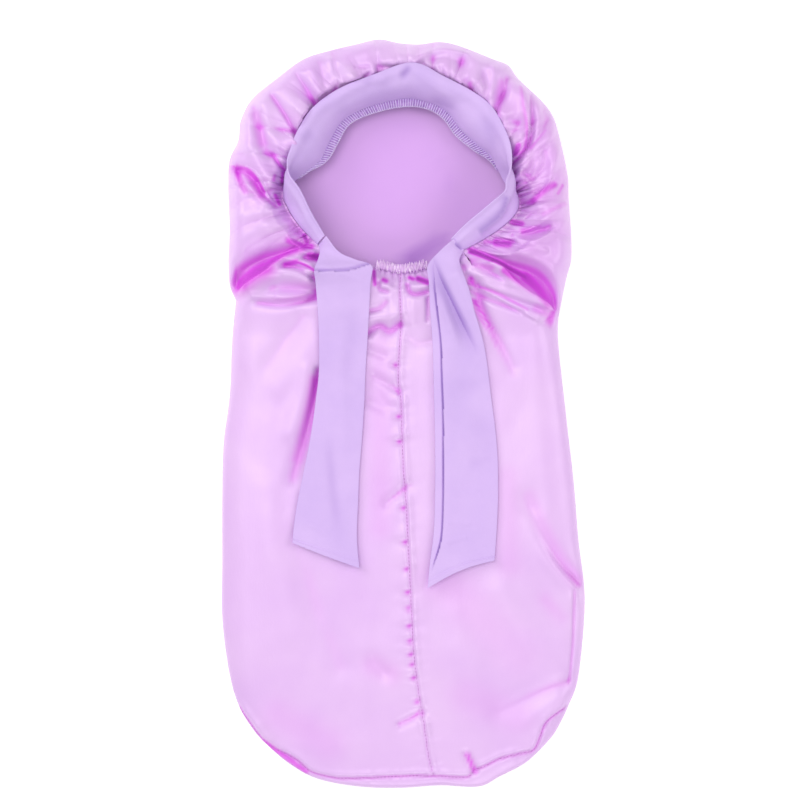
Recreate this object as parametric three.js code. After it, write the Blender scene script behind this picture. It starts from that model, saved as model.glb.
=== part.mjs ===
// A long satin bonnet for braids, lying on its back with the face opening up.
// One satin sheet is closed to a sleeve by a seam down the front and a curved seam round the end.
// Its top edge is gathered onto a plain stretch band, which goes round the face opening and leaves
// it as two flat ties. A short shirred elastic closes the nape between the ties.
// Millimetres. +Z is up from the surface that it lies on, +Y runs from the sleeve's end to the crown,
// and +X is to the right, seen from above. The origin is on the surface, under the middle.

import * as THREE from "three";

// Cloth thicknesses and the gaps between pieces
const SATIN_WALL = 1.5;
const BAND_THICK = 2.6;
// Where the band twists upright its middle bulges outwards, as far as its two edges lie over each other
const TWIST_BULGE = 6;
const TWIST_LEAN = 9;
const TIE_THICK = 2.0;
const TIE_LIFT = 0.9;

// The outline seen from above, clockwise. The hood runs from the left waist notch over the crown to
// the right one, and the sleeve's sides and round end close the rest.
const HOOD_EDGE = table(["x", "y"], [
  [-134, 91], [-139, 103], [-140, 122], [-139, 147], [-140, 179], [-139, 202], [-132, 218],
  [-130, 234], [-121, 251], [-102, 267], [-80, 283], [-59, 290], [-38, 295], [-20, 299],
  [-3, 296], [13, 295], [28, 297], [44, 294], [72, 283], [84, 278], [92, 267], [110, 250],
  [119, 238], [124, 223], [131, 191], [132, 171], [134, 143], [134, 123], [130, 107], [124, 77],
]);
const RIGHT_EDGE = table(["x", "y"], [
  [124, 77], [124, 55], [131, -9], [136, -53], [140, -101], [145, -149], [140, -209], [132, -233],
  [126, -246],
]);
const END_EDGE = table(["x", "y"], [
  [126, -246], [118, -259], [99, -278], [77, -290], [60, -298], [29, -297], [-3, -299],
  [-35, -298], [-68, -292], [-91, -280], [-113, -261], [-122, -250],
]);
const LEFT_EDGE = table(["x", "y"], [
  [-122, -250], [-131, -235], [-139, -209], [-145, -163], [-145, -117], [-145, -69], [-144, -25],
  [-139, 15], [-137, 59], [-134, 91],
]);

// The line across the front, under the nape, where the hood's gathers run out into the sleeve
const WAIST = table(["x", "y"], [[-134, 91], [-67, 74], [-1, 67], [61, 71], [124, 77]]);

// The band's seam and its folded free edge, from the left tie over the crown to the right tie. lap is
// how far the gathered satin stays low beside the seam, and bow how far the band arches between its
// two edges.
const BAND = table(["x", "y", "z", "lap", "tip_x", "tip_y", "tip_z", "bow"], [
  [-68, 134, 25, 12, -62, 141, 33, 1],
  [-82, 148, 26, 12, -72, 158, 41, 2],
  [-92, 163, 24, 12, -81, 176, 46, 2],
  [-95, 176, 21, 12, -89, 187, 49, 1],
  [-80, 191, 18, 26, -91, 198, 47, 1],
  [-68, 201, 15, 32, -88, 210, 43, 3],
  [-59, 218, 14, 36, -83, 223, 40, 5],
  [-50, 233, 14, 38, -72, 240, 39, 6],
  [-36, 242, 14, 38, -52, 255, 39, 7],
  [-19, 248, 14, 38, -25, 266, 40, 7],
  [4, 252, 14, 38, 7, 276, 40, 7],
  [23, 248, 14, 38, 32, 265, 40, 7],
  [36, 240, 14, 38, 55, 253, 39, 6],
  [47, 226, 14, 38, 69, 242, 39, 6],
  [60, 214, 14, 36, 79, 225, 41, 5],
  [70, 205, 15, 30, 84, 210, 44, 3],
  [76, 194, 17, 20, 84, 194, 48, 1],
  [82, 182, 20, 12, 80, 183, 50, 1],
  [91, 171, 23, 12, 79, 175, 48, 2],
  [90, 160, 25, 12, 71, 168, 44, 2],
  [80, 149, 26, 12, 60, 159, 41, 2],
  [64, 138, 25, 12, 48, 149, 38, 2],
  [47, 129, 24, 12, 37, 138, 33, 1],
]);

// The nape, from the right tie to the left one, where the shirred elastic and the tie roots sit
const NAPE = table(["x", "y", "z", "lap"], [
  [47, 129, 24, 12], [35, 122, 21, 14], [23, 118, 18, 16], [-1, 114, 17, 18], [-24, 118, 18, 16],
  [-39, 121, 20, 14], [-55, 126, 23, 13], [-68, 134, 25, 12],
]);

// How high the front stands over the back, and how wide its rolled edge is, along the length
const FULLNESS = table(["y", "height", "roll"], [
  [-300, 9, 14], [-260, 12, 22], [-180, 15, 34], [-80, 17, 40], [0, 19, 40], [60, 22, 30],
  [90, 27, 22], [120, 34, 20], [180, 37, 20], [250, 36, 20], [300, 32, 18],
]);
const EDGE_RADIUS = 4.5;

// The main folds of the front, each a curved line through three points. width is the half width, and
// rise the height, at its first and last point; a crease has a negative rise.
const FOLDS = table(
  ["x0", "y0", "x1", "y1", "x2", "y2", "width0", "width1", "rise0", "rise1"],
  [
    [-70, 138, -110, 128, -133, 100, 7, 9, -10, -14], // left waist crease
    [-76, 125, -104, 122, -130, 100, 5, 7, 3, 5], // puff under it
    [-74, 101, -92, 98, -108, 104, 4, 6, -6, -2], // dent beside the left tie
    [-72, 112, -98, 110, -124, 98, 5, 7, 4, 4], // puff over that dent
    [-88, 170, -116, 188, -138, 200, 6, 7, -8, -6], // crease from the left twist
    [-96, 186, -116, 206, -122, 240, 6, 8, 5, 4], // long left ridge
    [-102, 200, -114, 220, -122, 238, 4, 6, -4, -5], // hollow beside it
    [-84, 224, -94, 238, -106, 254, 3, 4, -5, -3], // thin crease
    [-68, 246, -70, 262, -72, 272, 4, 6, -6, -3],
    [-56, 258, -58, 262, -54, 268, 4, 5, -6, -3], // pocket beside the band
    [-28, 272, -18, 288, -20, 298, 5, 7, 3, 3],
    [-14, 276, -8, 278, -4, 280, 3, 3, -6, -3],
    [10, 284, 24, 296, 50, 290, 5, 6, 4, 2], // arc over the crown
    [22, 278, 28, 276, 34, 268, 4, 5, -5, -4],
    [52, 262, 55, 262, 57, 258, 4, 4, -7, -5],
    [70, 252, 70, 262, 72, 275, 4, 5, 4, 3],
    [76, 244, 80, 254, 84, 264, 4, 5, -7, -4],
    [88, 214, 102, 224, 97, 262, 4, 5, 5, 5], // long right ridge
    [92, 206, 104, 218, 102, 254, 3, 4, -5, -4],
    [104, 214, 112, 228, 118, 236, 4, 5, -3, -5],
    [98, 176, 112, 180, 120, 196, 3, 5, -6, -5], // hollow at the right twist
    [92, 158, 104, 166, 130, 168, 4, 6, -5, -2],
    [84, 140, 112, 146, 128, 104, 6, 6, 4, 5], // lip over the right waist crease
    [62, 134, 112, 124, 123, 82, 6, 9, -10, -15], // right waist crease
    [50, 125, 84, 114, 122, 84, 4, 5, 5, 5], // puff under it
    [54, 104, 88, 92, 120, 88, 4, 6, -3, -4],
    [-66, 34, -74, -8, -84, -56, 8, 11, -7, -3], // crease along the left tie
    [-34, 69, -14, 67, 6, 72, 7, 7, -5, -4], // wave under the elastic
    [98, -70, 120, -108, 144, -138, 12, 14, -3, -6], // lower right crease
  ],
);

// Gathers pulled in by the band's seam: their number and height, how unevenly they are spread, and the
// share of the seam over which they fade out at its two ends
const GATHERS = 22;
const GATHER_RISE = 2.2;
const GATHER_DRIFT = 2;
const DRIFT_TURNS = 9;
const GATHER_FADE = 0.04;

// Folds fade out this near to the seam and to the outline, and none of them dips below LOWEST.
const SEAM_FADE = 12;
const OUTLINE_FADE = 14;
const LOWEST = 7;

// The ties: left and right edge of each cross row, how far each edge stands over the satin, and how
// high the lengthwise crest between them is
const TIE_COLUMNS = ["lx", "ly", "l_rise", "rx", "ry", "r_rise", "crest"];
const LEFT_TIE = table(TIE_COLUMNS, [
  [-67.3, 133.8, 0, -60.8, 140.4, 5, 0],
  [-69, 122, 2, -36, 126, 2, 0],
  [-72, 114, 3, -25, 117, 2, 0],
  [-70, 103, 1, -24, 106, 1, 0.5],
  [-69, 83, 0, -26, 85, 0, 0],
  [-68, 59, 0, -28, 59, 0, 0],
  [-68, 35, 0, -29, 35, 0, 0],
  [-70, 11, 0.5, -30, 11, 0, 0],
  [-74, -13, 1, -32, -13, 0, 0],
  [-78, -37, 0.5, -33, -37, 0, 0],
  [-81, -61, 0, -35, -61, 0, 0],
  [-84, -85, 0, -36, -92, 0, 0],
  [-86, -101, 0, -31, -123, 0, 0],
]);
const RIGHT_TIE = table(TIE_COLUMNS, [
  [39.3, 138, 5, 47.9, 129.6, 0, 0],
  [22, 122, 2, 46, 119, 1, 3],
  [20, 112, 3, 49, 107, 2, 4],
  [22, 87, 1, 55, 87, 1, 4],
  [24, 55, 1, 64, 58, 0, 1.5],
  [24, 19, 1, 70, 19, 0, 0],
  [25, -17, 1, 76, -17, 0, 0],
  [25, -49, 1, 77, -51, 0, 0],
  [24, -81, 1, 76, -81, 0, 0],
  [21, -113, 0.5, 76, -101, 0, 0],
  [19, -140, 0, 75, -115, 0, 0],
]);
const CREST_AT = 0.66;
const CREST_WIDTH = 0.22;

// The elastic's shirred roll between the ties
const ELASTIC = { from: -22, to: 18, width: 6, height: 4.5, ribs: 9, rib_height: 0.16, lift: 0.4 };

// Mesh density
const CURVE_STEPS = 12;
const HOOD_STEPS = 88;
const RAY = [0, 0.06, 0.13, 0.22, 0.32, 0.43, 0.55, 0.67, 0.78, 0.87, 0.94, 0.98, 1];
const ACROSS = mirrored([0, 0.008, 0.024, 0.05, 0.09, 0.14, 0.2, 0.27, 0.35, 0.43, 0.5]);
const ALONG = [
  0, 0.05, 0.1, 0.15, 0.2, 0.26, 0.32, 0.38, 0.44, 0.5, 0.55, 0.6, 0.65, 0.7, 0.76, 0.82, 0.88, 0.93,
  0.97, 0.99, 1,
];
const ROLL_TURNS = [0.35, 0.7, 1];
const TIE_STEPS = 22;
const BAND_STEPS = 58;

// Rows of numbers with named columns
function table(columns, rows) {
  return rows.map((row) => Object.fromEntries(columns.map((name, i) => [name, row[i]])));
}

function mirrored(half) {
  return [...half, ...half.slice(0, -1).reverse().map((f) => 1 - f)];
}

function mix(a, b, t) {
  return a + (b - a) * t;
}

function smooth(t) {
  const c = Math.min(1, Math.max(0, t));
  return c * c * (3 - 2 * c);
}

// A Catmull-Rom curve through a table's rows, in all of its columns, with points evenly spaced in plan
function spline(rows, keys = Object.keys(rows[0])) {
  const fine = [];
  for (let i = 0; i < rows.length - 1; i++) {
    const [a, b, c, d] = [-1, 0, 1, 2].map((k) => rows[Math.min(rows.length - 1, Math.max(0, i + k))]);
    for (let k = 0; k < CURVE_STEPS + (i === rows.length - 2 ? 1 : 0); k++) {
      const t = k / CURVE_STEPS;
      const point = {};
      for (const key of keys) {
        const slope_b = (c[key] - a[key]) / 2;
        const slope_c = (d[key] - b[key]) / 2;
        const rise = c[key] - b[key];
        const square = 3 * rise - 2 * slope_b - slope_c;
        const cube = slope_b + slope_c - 2 * rise;
        point[key] = b[key] + t * (slope_b + t * (square + t * cube));
      }
      fine.push(point);
    }
  }
  const run = [0];
  for (let i = 1; i < fine.length; i++) {
    run.push(run[i - 1] + Math.hypot(fine[i].x - fine[i - 1].x, fine[i].y - fine[i - 1].y));
  }
  const length = run[run.length - 1];
  return {
    points: fine,
    length,
    at(fraction) {
      const goal = Math.min(1, Math.max(0, fraction)) * length;
      let i = 1;
      while (i < run.length - 1 && run[i] < goal) i++;
      const t = (goal - run[i - 1]) / (run[i] - run[i - 1]);
      return Object.fromEntries(keys.map((key) => [key, mix(fine[i - 1][key], fine[i][key], t)]));
    },
  };
}

const hoodEdge = spline(HOOD_EDGE);
const rightEdge = spline(RIGHT_EDGE);
const endEdge = spline(END_EDGE);
const leftEdge = spline(LEFT_EDGE);
const waist = spline(WAIST);
const bandLine = spline(BAND);
const napeLine = spline(NAPE);
const outline = [hoodEdge, rightEdge, endEdge, leftEdge].flatMap((side) => side.points.slice(0, -1));
const seamRing = [...bandLine.points.slice(0, -1), ...napeLine.points.slice(0, -1)];
const foldLines = FOLDS.map((fold) => ({ fold, line: foldPoints(fold) }));

function foldPoints({ x0, y0, x1, y1, x2, y2 }) {
  const curve = new THREE.QuadraticBezierCurve(
    new THREE.Vector2(x0, y0),
    new THREE.Vector2(2 * x1 - (x0 + x2) / 2, 2 * y1 - (y0 + y2) / 2),
    new THREE.Vector2(x2, y2),
  );
  return curve.getPoints(CURVE_STEPS).map(({ x, y }) => ({ x, y }));
}

// The nearest place on a line to a point in plan: its distance, and where it lies along the line
function nearest(line, x, y, closed = false) {
  let best = { distance: Infinity };
  for (let i = 0; i < line.length - (closed ? 0 : 1); i++) {
    const a = line[i];
    const b = line[(i + 1) % line.length];
    const dx = b.x - a.x;
    const dy = b.y - a.y;
    const t = Math.min(1, Math.max(0, ((x - a.x) * dx + (y - a.y) * dy) / (dx * dx + dy * dy || 1)));
    const distance = Math.hypot(x - a.x - t * dx, y - a.y - t * dy);
    if (distance < best.distance) best = { distance, i, t, a, b };
  }
  return best;
}

function fullness(y, key) {
  const rows = FULLNESS;
  const i = Math.min(rows.length - 2, Math.max(0, rows.findIndex((row) => row.y > y) - 1));
  return mix(rows[i][key], rows[i + 1][key], smooth((y - rows[i].y) / (rows[i + 1].y - rows[i].y)));
}

// How much of its full height the front has at this distance from the outline
function rollShare(edge, width) {
  const t = Math.min(1, Math.max(0, edge / width));
  return Math.sqrt(1 - (1 - t) ** 2);
}

// The front's smooth form, before its folds
function baseHeight(x, y) {
  const edge = nearest(outline, x, y, true).distance;
  const share = rollShare(edge, fullness(y, "roll"));
  const front = mix(EDGE_RADIUS, fullness(y, "height"), share);
  const ring = nearest(seamRing, x, y, true);
  const seam = mix(ring.a.z, ring.b.z, ring.t);
  const lap = mix(ring.a.lap, ring.b.lap, ring.t);
  return mix(seam, front, smooth(ring.distance / lap));
}

// The height that folds and gathers add. gather is the place along the band's seam, or null.
function foldHeight(x, y, gather) {
  const edge = nearest(outline, x, y, true).distance;
  const seam = nearest(seamRing, x, y, true).distance;
  let rise = 0;
  for (const { fold, line } of foldLines) {
    const { distance, i, t } = nearest(line, x, y);
    const along = (i + t) / (line.length - 1);
    const width = mix(fold.width0, fold.width1, along);
    rise += mix(fold.rise0, fold.rise1, along) * Math.exp(-((distance / width) ** 2));
  }
  if (gather !== null) {
    const drift = GATHER_DRIFT * Math.sin(DRIFT_TURNS * gather);
    const wave = Math.cos(2 * Math.PI * GATHERS * gather + drift);
    rise += GATHER_RISE * wave * smooth(gather / GATHER_FADE) * smooth((1 - gather) / GATHER_FADE);
  }
  return rise * smooth(seam / SEAM_FADE) * smooth(edge / OUTLINE_FADE);
}

// The satin body: outer and inner skin, closed at the face opening's rim
function makeSatin() {
  const skins = { outer: [], inner: [] };

  // A point of the front in both skins. The wall is measured across the smooth form, and both skins
  // take the same folds, so they can't cross.
  const front = (x, y, gather = null, edgeNormal = null) => {
    const z = baseHeight(x, y);
    let n;
    if (edgeNormal) {
      n = new THREE.Vector3(edgeNormal.x, edgeNormal.y, 0);
    } else {
      const step = 0.5;
      n = new THREE.Vector3(
        baseHeight(x - step, y) - baseHeight(x + step, y),
        baseHeight(x, y - step) - baseHeight(x, y + step),
        2 * step,
      ).normalize();
    }
    const shift = edgeNormal ? 0 : Math.max(foldHeight(x, y, gather), Math.min(0, LOWEST - z));
    return {
      outer: [x, y, z + shift],
      inner: [x - n.x * SATIN_WALL, y - n.y * SATIN_WALL, z + shift - n.z * SATIN_WALL],
    };
  };

  const edgeNormal = (side, f) => {
    const step = 0.004;
    const a = side.at(Math.max(0, f - step));
    const b = side.at(Math.min(1, f + step));
    return new THREE.Vector2(-(b.y - a.y), b.x - a.x).normalize();
  };

  // Every outline point is made once, so that the patches that meet there share it.
  const edgePoints = new Map();
  const cornerNormal = { "hood,0": ["hood", 0.01], "hood,1": ["hood", 0.99] };
  const sides = { hood: hoodEdge, right: rightEdge, end: endEdge, left: leftEdge };
  const edge = (name, f) => {
    const next = { hood: "right", right: "end", end: "left", left: "hood" };
    const key = f === 1 ? `${next[name]},0` : `${name},${f}`;
    if (!edgePoints.has(key)) {
      const { x, y } = sides[name].at(f);
      const [from, where] = cornerNormal[key] ?? [name, f];
      const n = edgeNormal(sides[from], where);
      edgePoints.set(key, { ...front(x, y, null, n), x, y, n });
    }
    return edgePoints.get(key);
  };

  const quad = (a, b, c, d, skin) => {
    skins[skin].push([a[skin], b[skin], c[skin]], [a[skin], c[skin], d[skin]]);
  };
  const patch = (grid) => {
    for (let i = 0; i < grid.length - 1; i++) {
      for (let j = 0; j < grid[i].length - 1; j++) {
        for (const skin of ["outer", "inner"]) {
          quad(grid[i][j], grid[i + 1][j], grid[i + 1][j + 1], grid[i][j + 1], skin);
        }
      }
    }
  };

  // The hood's rays, from the seam to the outline, clockwise from the left notch
  const hoodRays = [];
  for (let i = 0; i <= HOOD_STEPS; i++) {
    const f = i / HOOD_STEPS;
    const seam = bandLine.at(f);
    const rim = hoodEdge.at(f);
    hoodRays.push(
      RAY.map((s) => (s === 1 ? edge("hood", f) : front(mix(seam.x, rim.x, s), mix(seam.y, rim.y, s), f))),
    );
  }

  // The nape's rays, from the seam down to the waist line, from right to left
  const napeRays = ACROSS.map((f, i) => {
    if (i === 0) return hoodRays[HOOD_STEPS];
    if (i === ACROSS.length - 1) return hoodRays[0];
    const seam = napeLine.at(f);
    const foot = waist.at(1 - f);
    return RAY.map((s) => front(mix(seam.x, foot.x, s), mix(seam.y, foot.y, s)));
  });

  // The sleeve, a patch between the waist line, the two sides and the round end
  const sleeve = ALONG.map((v, row) =>
    ACROSS.map((u, column) => {
      if (row === 0) return napeRays[column][RAY.length - 1];
      if (row === ALONG.length - 1) return edge("end", u);
      if (column === 0) return edge("right", v);
      if (column === ACROSS.length - 1) return edge("left", 1 - v);
      const [right, left] = [rightEdge.at(v), leftEdge.at(1 - v)];
      const [top, foot] = [waist.at(1 - u), endEdge.at(u)];
      const corner = [waist.at(1), waist.at(0), endEdge.at(0), endEdge.at(1)];
      const coons = (k) =>
        mix(right[k], left[k], u) +
        mix(top[k], foot[k], v) -
        mix(mix(corner[0][k], corner[1][k], u), mix(corner[2][k], corner[3][k], u), v);
      return front(coons("x"), coons("y"));
    }),
  );
  patch(hoodRays);
  patch(napeRays);
  patch(sleeve[0].map((_, column) => sleeve.map((row) => row[column])));

  // The outline rolls under to the flat back.
  const around = [
    ...Array.from({ length: HOOD_STEPS }, (_, i) => edge("hood", i / HOOD_STEPS)),
    ...ALONG.slice(0, -1).map((v) => edge("right", v)),
    ...ACROSS.slice(0, -1).map((u) => edge("end", u)),
    ...ALONG.slice(1).reverse().map((v) => edge("left", 1 - v)),
  ];
  const rolled = around.map(({ x, y, n, ...point }) => [
    point,
    ...ROLL_TURNS.map((turn) => {
      const place = (radius) => {
        const back = EDGE_RADIUS - radius * Math.cos((turn * Math.PI) / 2);
        return [x - n.x * back, y - n.y * back, EDGE_RADIUS - radius * Math.sin((turn * Math.PI) / 2)];
      };
      return { outer: place(EDGE_RADIUS), inner: place(EDGE_RADIUS - SATIN_WALL) };
    }),
  ]);
  patch([...rolled, rolled[0]]);
  const middle = { outer: [0, 0, 0], inner: [0, 0, SATIN_WALL] };
  const last = ROLL_TURNS.length;
  for (let i = 0; i < rolled.length; i++) {
    for (const skin of ["outer", "inner"]) {
      skins[skin].push([rolled[i][last][skin], rolled[(i + 1) % rolled.length][last][skin], middle[skin]]);
    }
  }

  // The rim at the seam joins the two skins.
  const rim = [...hoodRays.slice(0, -1), ...napeRays.slice(0, -1)].map((ray) => ray[0]);
  const faces = [...skins.outer, ...skins.inner.map(([a, b, c]) => [c, b, a])];
  rim.forEach((a, i) => {
    const b = rim[(i + 1) % rim.length];
    faces.push([a.outer, a.inner, b.inner], [a.outer, b.inner, b.outer]);
  });
  return geometry(faces);
}

function geometry(faces) {
  const made = new THREE.BufferGeometry();
  made.setAttribute("position", new THREE.Float32BufferAttribute(faces.flat(2), 3));
  made.computeVertexNormals();
  return made;
}

// A closed solid through cross sections, each a ring of the same number of points, with flat ends
function loft(sections) {
  const faces = [];
  const count = sections[0].length;
  for (let i = 0; i < sections.length - 1; i++) {
    for (let j = 0; j < count; j++) {
      const k = (j + 1) % count;
      const [a, b] = [sections[i], sections[i + 1]];
      faces.push([a[j], a[k], b[k]], [a[j], b[k], b[j]]);
    }
  }
  for (const [section, turned] of [[sections[0], true], [sections[sections.length - 1], false]]) {
    for (let j = 0; j < count / 2 - 1; j++) {
      const [a, b, c, d] = [section[j], section[j + 1], section[count - 2 - j], section[count - 1 - j]];
      faces.push(...(turned ? [[a, c, b], [a, d, c]] : [[a, b, c], [a, c, d]]));
    }
  }
  return geometry(faces);
}

// The band: a folded strip that stands on the seam, leans out over the gathers at the crown, twists
// upright beside the cheeks and leans in towards the ties
function makeBand() {
  const inset = 0.9;
  const lift = 1.3;
  const profile = table(["along", "half"], [[0, 0.35], [0.22, 0.42], [0.55, 0.5], [0.85, 0.42], [1, 0.2]]);
  const opening = new THREE.Vector3(-3, 185, 0);
  const stations = Array.from({ length: BAND_STEPS + 1 }, (_, i) => {
    const at = bandLine.at(i / BAND_STEPS);
    const seam = new THREE.Vector3(at.x, at.y, at.z);
    const inward = opening.clone().sub(seam).setZ(0).normalize();
    seam.addScaledVector(inward, inset).add(new THREE.Vector3(0, 0, lift));
    const lean = Math.hypot(at.tip_x - at.x, at.tip_y - at.y);
    const bulge = TWIST_BULGE * Math.exp(-((lean / TWIST_LEAN) ** 2));
    const tip = new THREE.Vector3(at.tip_x, at.tip_y, at.tip_z);
    return { seam, tip, bow: at.bow, outward: inward.clone().multiplyScalar(-bulge) };
  });
  const sections = stations.map(({ seam, tip, bow, outward }, i) => {
    const before = stations[Math.max(0, i - 1)];
    const after = stations[Math.min(BAND_STEPS, i + 1)];
    const run = after.seam.clone().add(after.tip).sub(before.seam).sub(before.tip).normalize();
    const side = run.clone().cross(tip.clone().sub(seam)).normalize();
    const place = ({ along, half }, sign) =>
      seam
        .clone()
        .lerp(tip, along)
        .addScaledVector(outward, Math.sin(Math.PI * along))
        .addScaledVector(side, bow * Math.sin(Math.PI * along) + sign * half * BAND_THICK);
    return [
      ...profile.map((row) => place(row, -1)),
      ...profile.map((row) => place(row, 1)).reverse(),
    ].map((p) => p.toArray());
  });
  return loft(sections);
}

// The satin's height with its folds, taken as the highest place nearby so that a tie laid on it clears it
function restHeight(x, y) {
  const reach = 5;
  let highest = -Infinity;
  for (const [dx, dy] of [[0, 0], [reach, 0], [-reach, 0], [0, reach], [0, -reach]]) {
    highest = Math.max(highest, baseHeight(x + dx, y + dy) + foldHeight(x + dx, y + dy, null));
  }
  return highest;
}

// A tie: a flat folded strip that comes off the band's end, turns over the nape and lies on the sleeve
function makeTie(rows) {
  const across = [0, 0.12, 0.35, CREST_AT, 0.85, 1];
  const edgeShare = 0.6;
  const line = spline(rows.map((row) => ({ x: (row.lx + row.rx) / 2, y: (row.ly + row.ry) / 2, ...row })));
  const sections = Array.from({ length: TIE_STEPS + 1 }, (_, k) => {
    const row = line.at(k / TIE_STEPS);
    const lower = across.map((u) => {
      const x = mix(row.lx, row.rx, u);
      const y = mix(row.ly, row.ry, u);
      const crest = row.crest * Math.exp(-(((u - CREST_AT) / CREST_WIDTH) ** 2));
      return [x, y, restHeight(x, y) + TIE_LIFT + mix(row.l_rise, row.r_rise, u) + crest];
    });
    const upper = lower.map(([x, y, z], i) => {
      const atEdge = i === 0 || i === across.length - 1;
      return [x, y, z + (atEdge ? edgeShare : 1) * TIE_THICK];
    });
    return [...lower, ...upper.reverse()];
  });
  return loft(sections);
}

// The nape's elastic: a narrow roll of satin, ribbed where the elastic draws it in
function makeElastic() {
  const { from, to, width, height, ribs, rib_height, lift } = ELASTIC;
  const steps = ribs * 4;
  const sides = 6;
  const napeY = 116;
  const sections = Array.from({ length: steps + 1 }, (_, i) => {
    const x = mix(from, to, i / steps);
    const { a, b, t } = nearest(napeLine.points, x, napeY);
    const rib = 1 + rib_height * Math.cos((2 * Math.PI * i) / 4);
    const y = mix(a.y, b.y, t) + width / 2 + lift;
    const z = mix(a.z, b.z, t);
    return Array.from({ length: sides }, (_, k) => {
      const turn = (2 * Math.PI * (k + 0.5)) / sides;
      return [x, y + (width / 2) * Math.cos(turn), z + (height / 2) * rib * Math.sin(turn)];
    });
  });
  return loft(sections);
}

// Colours and finishes
const satin = new THREE.MeshStandardMaterial({ color: 0xe6bdf5, roughness: 0.35, metalness: 0 });
const bandCloth = new THREE.MeshStandardMaterial({ color: 0xcdb0ea, roughness: 0.75, metalness: 0 });
const elasticCloth = new THREE.MeshStandardMaterial({ color: 0xe0a8f0, roughness: 0.6, metalness: 0 });

const bonnet = new THREE.Group();

function addPiece(name, shape, material) {
  const mesh = new THREE.Mesh(shape, material);
  mesh.name = name;
  bonnet.add(mesh);
}

addPiece("satin_bag", makeSatin(), satin);
addPiece("face_band", makeBand(), bandCloth);
addPiece("tie_left", makeTie(LEFT_TIE), bandCloth);
addPiece("tie_right", makeTie(RIGHT_TIE), bandCloth);
addPiece("nape_elastic", makeElastic(), elasticCloth);

export default bonnet;
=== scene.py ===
import math

import bmesh
import bpy
import numpy as np
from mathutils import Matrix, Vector, kdtree, noise
from mathutils.bvhtree import BVHTree


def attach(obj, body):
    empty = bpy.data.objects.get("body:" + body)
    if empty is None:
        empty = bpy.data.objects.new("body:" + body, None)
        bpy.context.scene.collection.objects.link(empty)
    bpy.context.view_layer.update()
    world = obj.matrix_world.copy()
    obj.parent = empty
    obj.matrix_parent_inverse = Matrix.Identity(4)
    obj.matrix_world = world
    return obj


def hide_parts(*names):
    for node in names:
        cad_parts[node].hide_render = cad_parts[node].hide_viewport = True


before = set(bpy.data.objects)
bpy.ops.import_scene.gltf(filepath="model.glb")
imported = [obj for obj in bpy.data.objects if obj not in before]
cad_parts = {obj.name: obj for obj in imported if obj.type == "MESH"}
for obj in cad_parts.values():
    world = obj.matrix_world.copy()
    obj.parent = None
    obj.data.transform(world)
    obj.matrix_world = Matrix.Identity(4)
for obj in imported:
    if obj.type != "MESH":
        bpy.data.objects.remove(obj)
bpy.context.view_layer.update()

# Satin bag: hood and sleeve
# One sheet of polyester satin, closed by a seam down the front and a curved seam round the end. Its
# top edge is gathered onto the face band and, at the nape, onto a short elastic. It lies on its back.
# The tables below are in millimetres, seen from above, as the part's source has them.
MM = 0.001
HOOD_EDGE = [
    (-134, 91), (-139, 103), (-140, 122), (-139, 147), (-140, 179), (-139, 202), (-132, 218),
    (-130, 234), (-121, 251), (-102, 267), (-80, 283), (-59, 290), (-38, 295), (-20, 299),
    (-3, 296), (13, 295), (28, 297), (44, 294), (72, 283), (84, 278), (92, 267), (110, 250),
    (119, 238), (124, 223), (131, 191), (132, 171), (134, 143), (134, 123), (130, 107), (124, 77),
]
RIGHT_EDGE = [
    (124, 77), (124, 55), (131, -9), (136, -53), (140, -101), (145, -149), (140, -209),
    (132, -233), (126, -246),
]
END_EDGE = [
    (126, -246), (118, -259), (99, -278), (77, -290), (60, -298), (29, -297), (-3, -299),
    (-35, -298), (-68, -292), (-91, -280), (-113, -261), (-122, -250),
]
LEFT_EDGE = [
    (-122, -250), (-131, -235), (-139, -209), (-145, -163), (-145, -117), (-145, -69),
    (-144, -25), (-139, 15), (-137, 59), (-134, 91),
]
WAIST = [(-134, 91), (-67, 74), (-1, 67), (61, 71), (124, 77)]
# seam x, y, z, lap of low satin beside the seam, folded free edge x, y, z, bow between the two
BAND = [
    (-68, 134, 25, 12, -62, 141, 33, 1),
    (-82, 148, 26, 12, -72, 158, 41, 2),
    (-92, 163, 24, 12, -81, 176, 46, 2),
    (-95, 176, 21, 12, -89, 187, 49, 1),
    (-80, 191, 18, 20, -91, 198, 47, 1),
    (-68, 201, 15, 21, -88, 210, 43, 3),
    (-59, 218, 14, 22, -83, 223, 40, 5),
    (-50, 233, 14, 22, -72, 240, 39, 6),
    (-36, 242, 14, 22, -52, 255, 39, 7),
    (-19, 248, 14, 22, -25, 266, 40, 7),
    (4, 252, 14, 22, 7, 276, 40, 7),
    (23, 248, 14, 22, 32, 265, 40, 7),
    (36, 240, 14, 22, 55, 253, 39, 6),
    (47, 226, 14, 22, 69, 242, 39, 6),
    (60, 214, 14, 22, 79, 225, 41, 5),
    (70, 205, 15, 20, 84, 210, 44, 3),
    (76, 194, 17, 20, 84, 194, 48, 1),
    (82, 182, 20, 12, 80, 183, 50, 1),
    (91, 171, 23, 12, 79, 175, 48, 2),
    (90, 160, 25, 12, 71, 168, 44, 2),
    (80, 149, 26, 12, 60, 159, 41, 2),
    (64, 138, 25, 12, 48, 149, 38, 2),
    (47, 129, 24, 12, 37, 138, 33, 1),
]
# x, y, z, lap
NAPE = [
    (47, 129, 24, 12), (35, 122, 21, 14), (23, 118, 18, 16), (-1, 114, 17, 18), (-24, 118, 18, 16),
    (-39, 121, 20, 14), (-55, 126, 23, 13), (-68, 134, 25, 12),
]
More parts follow.
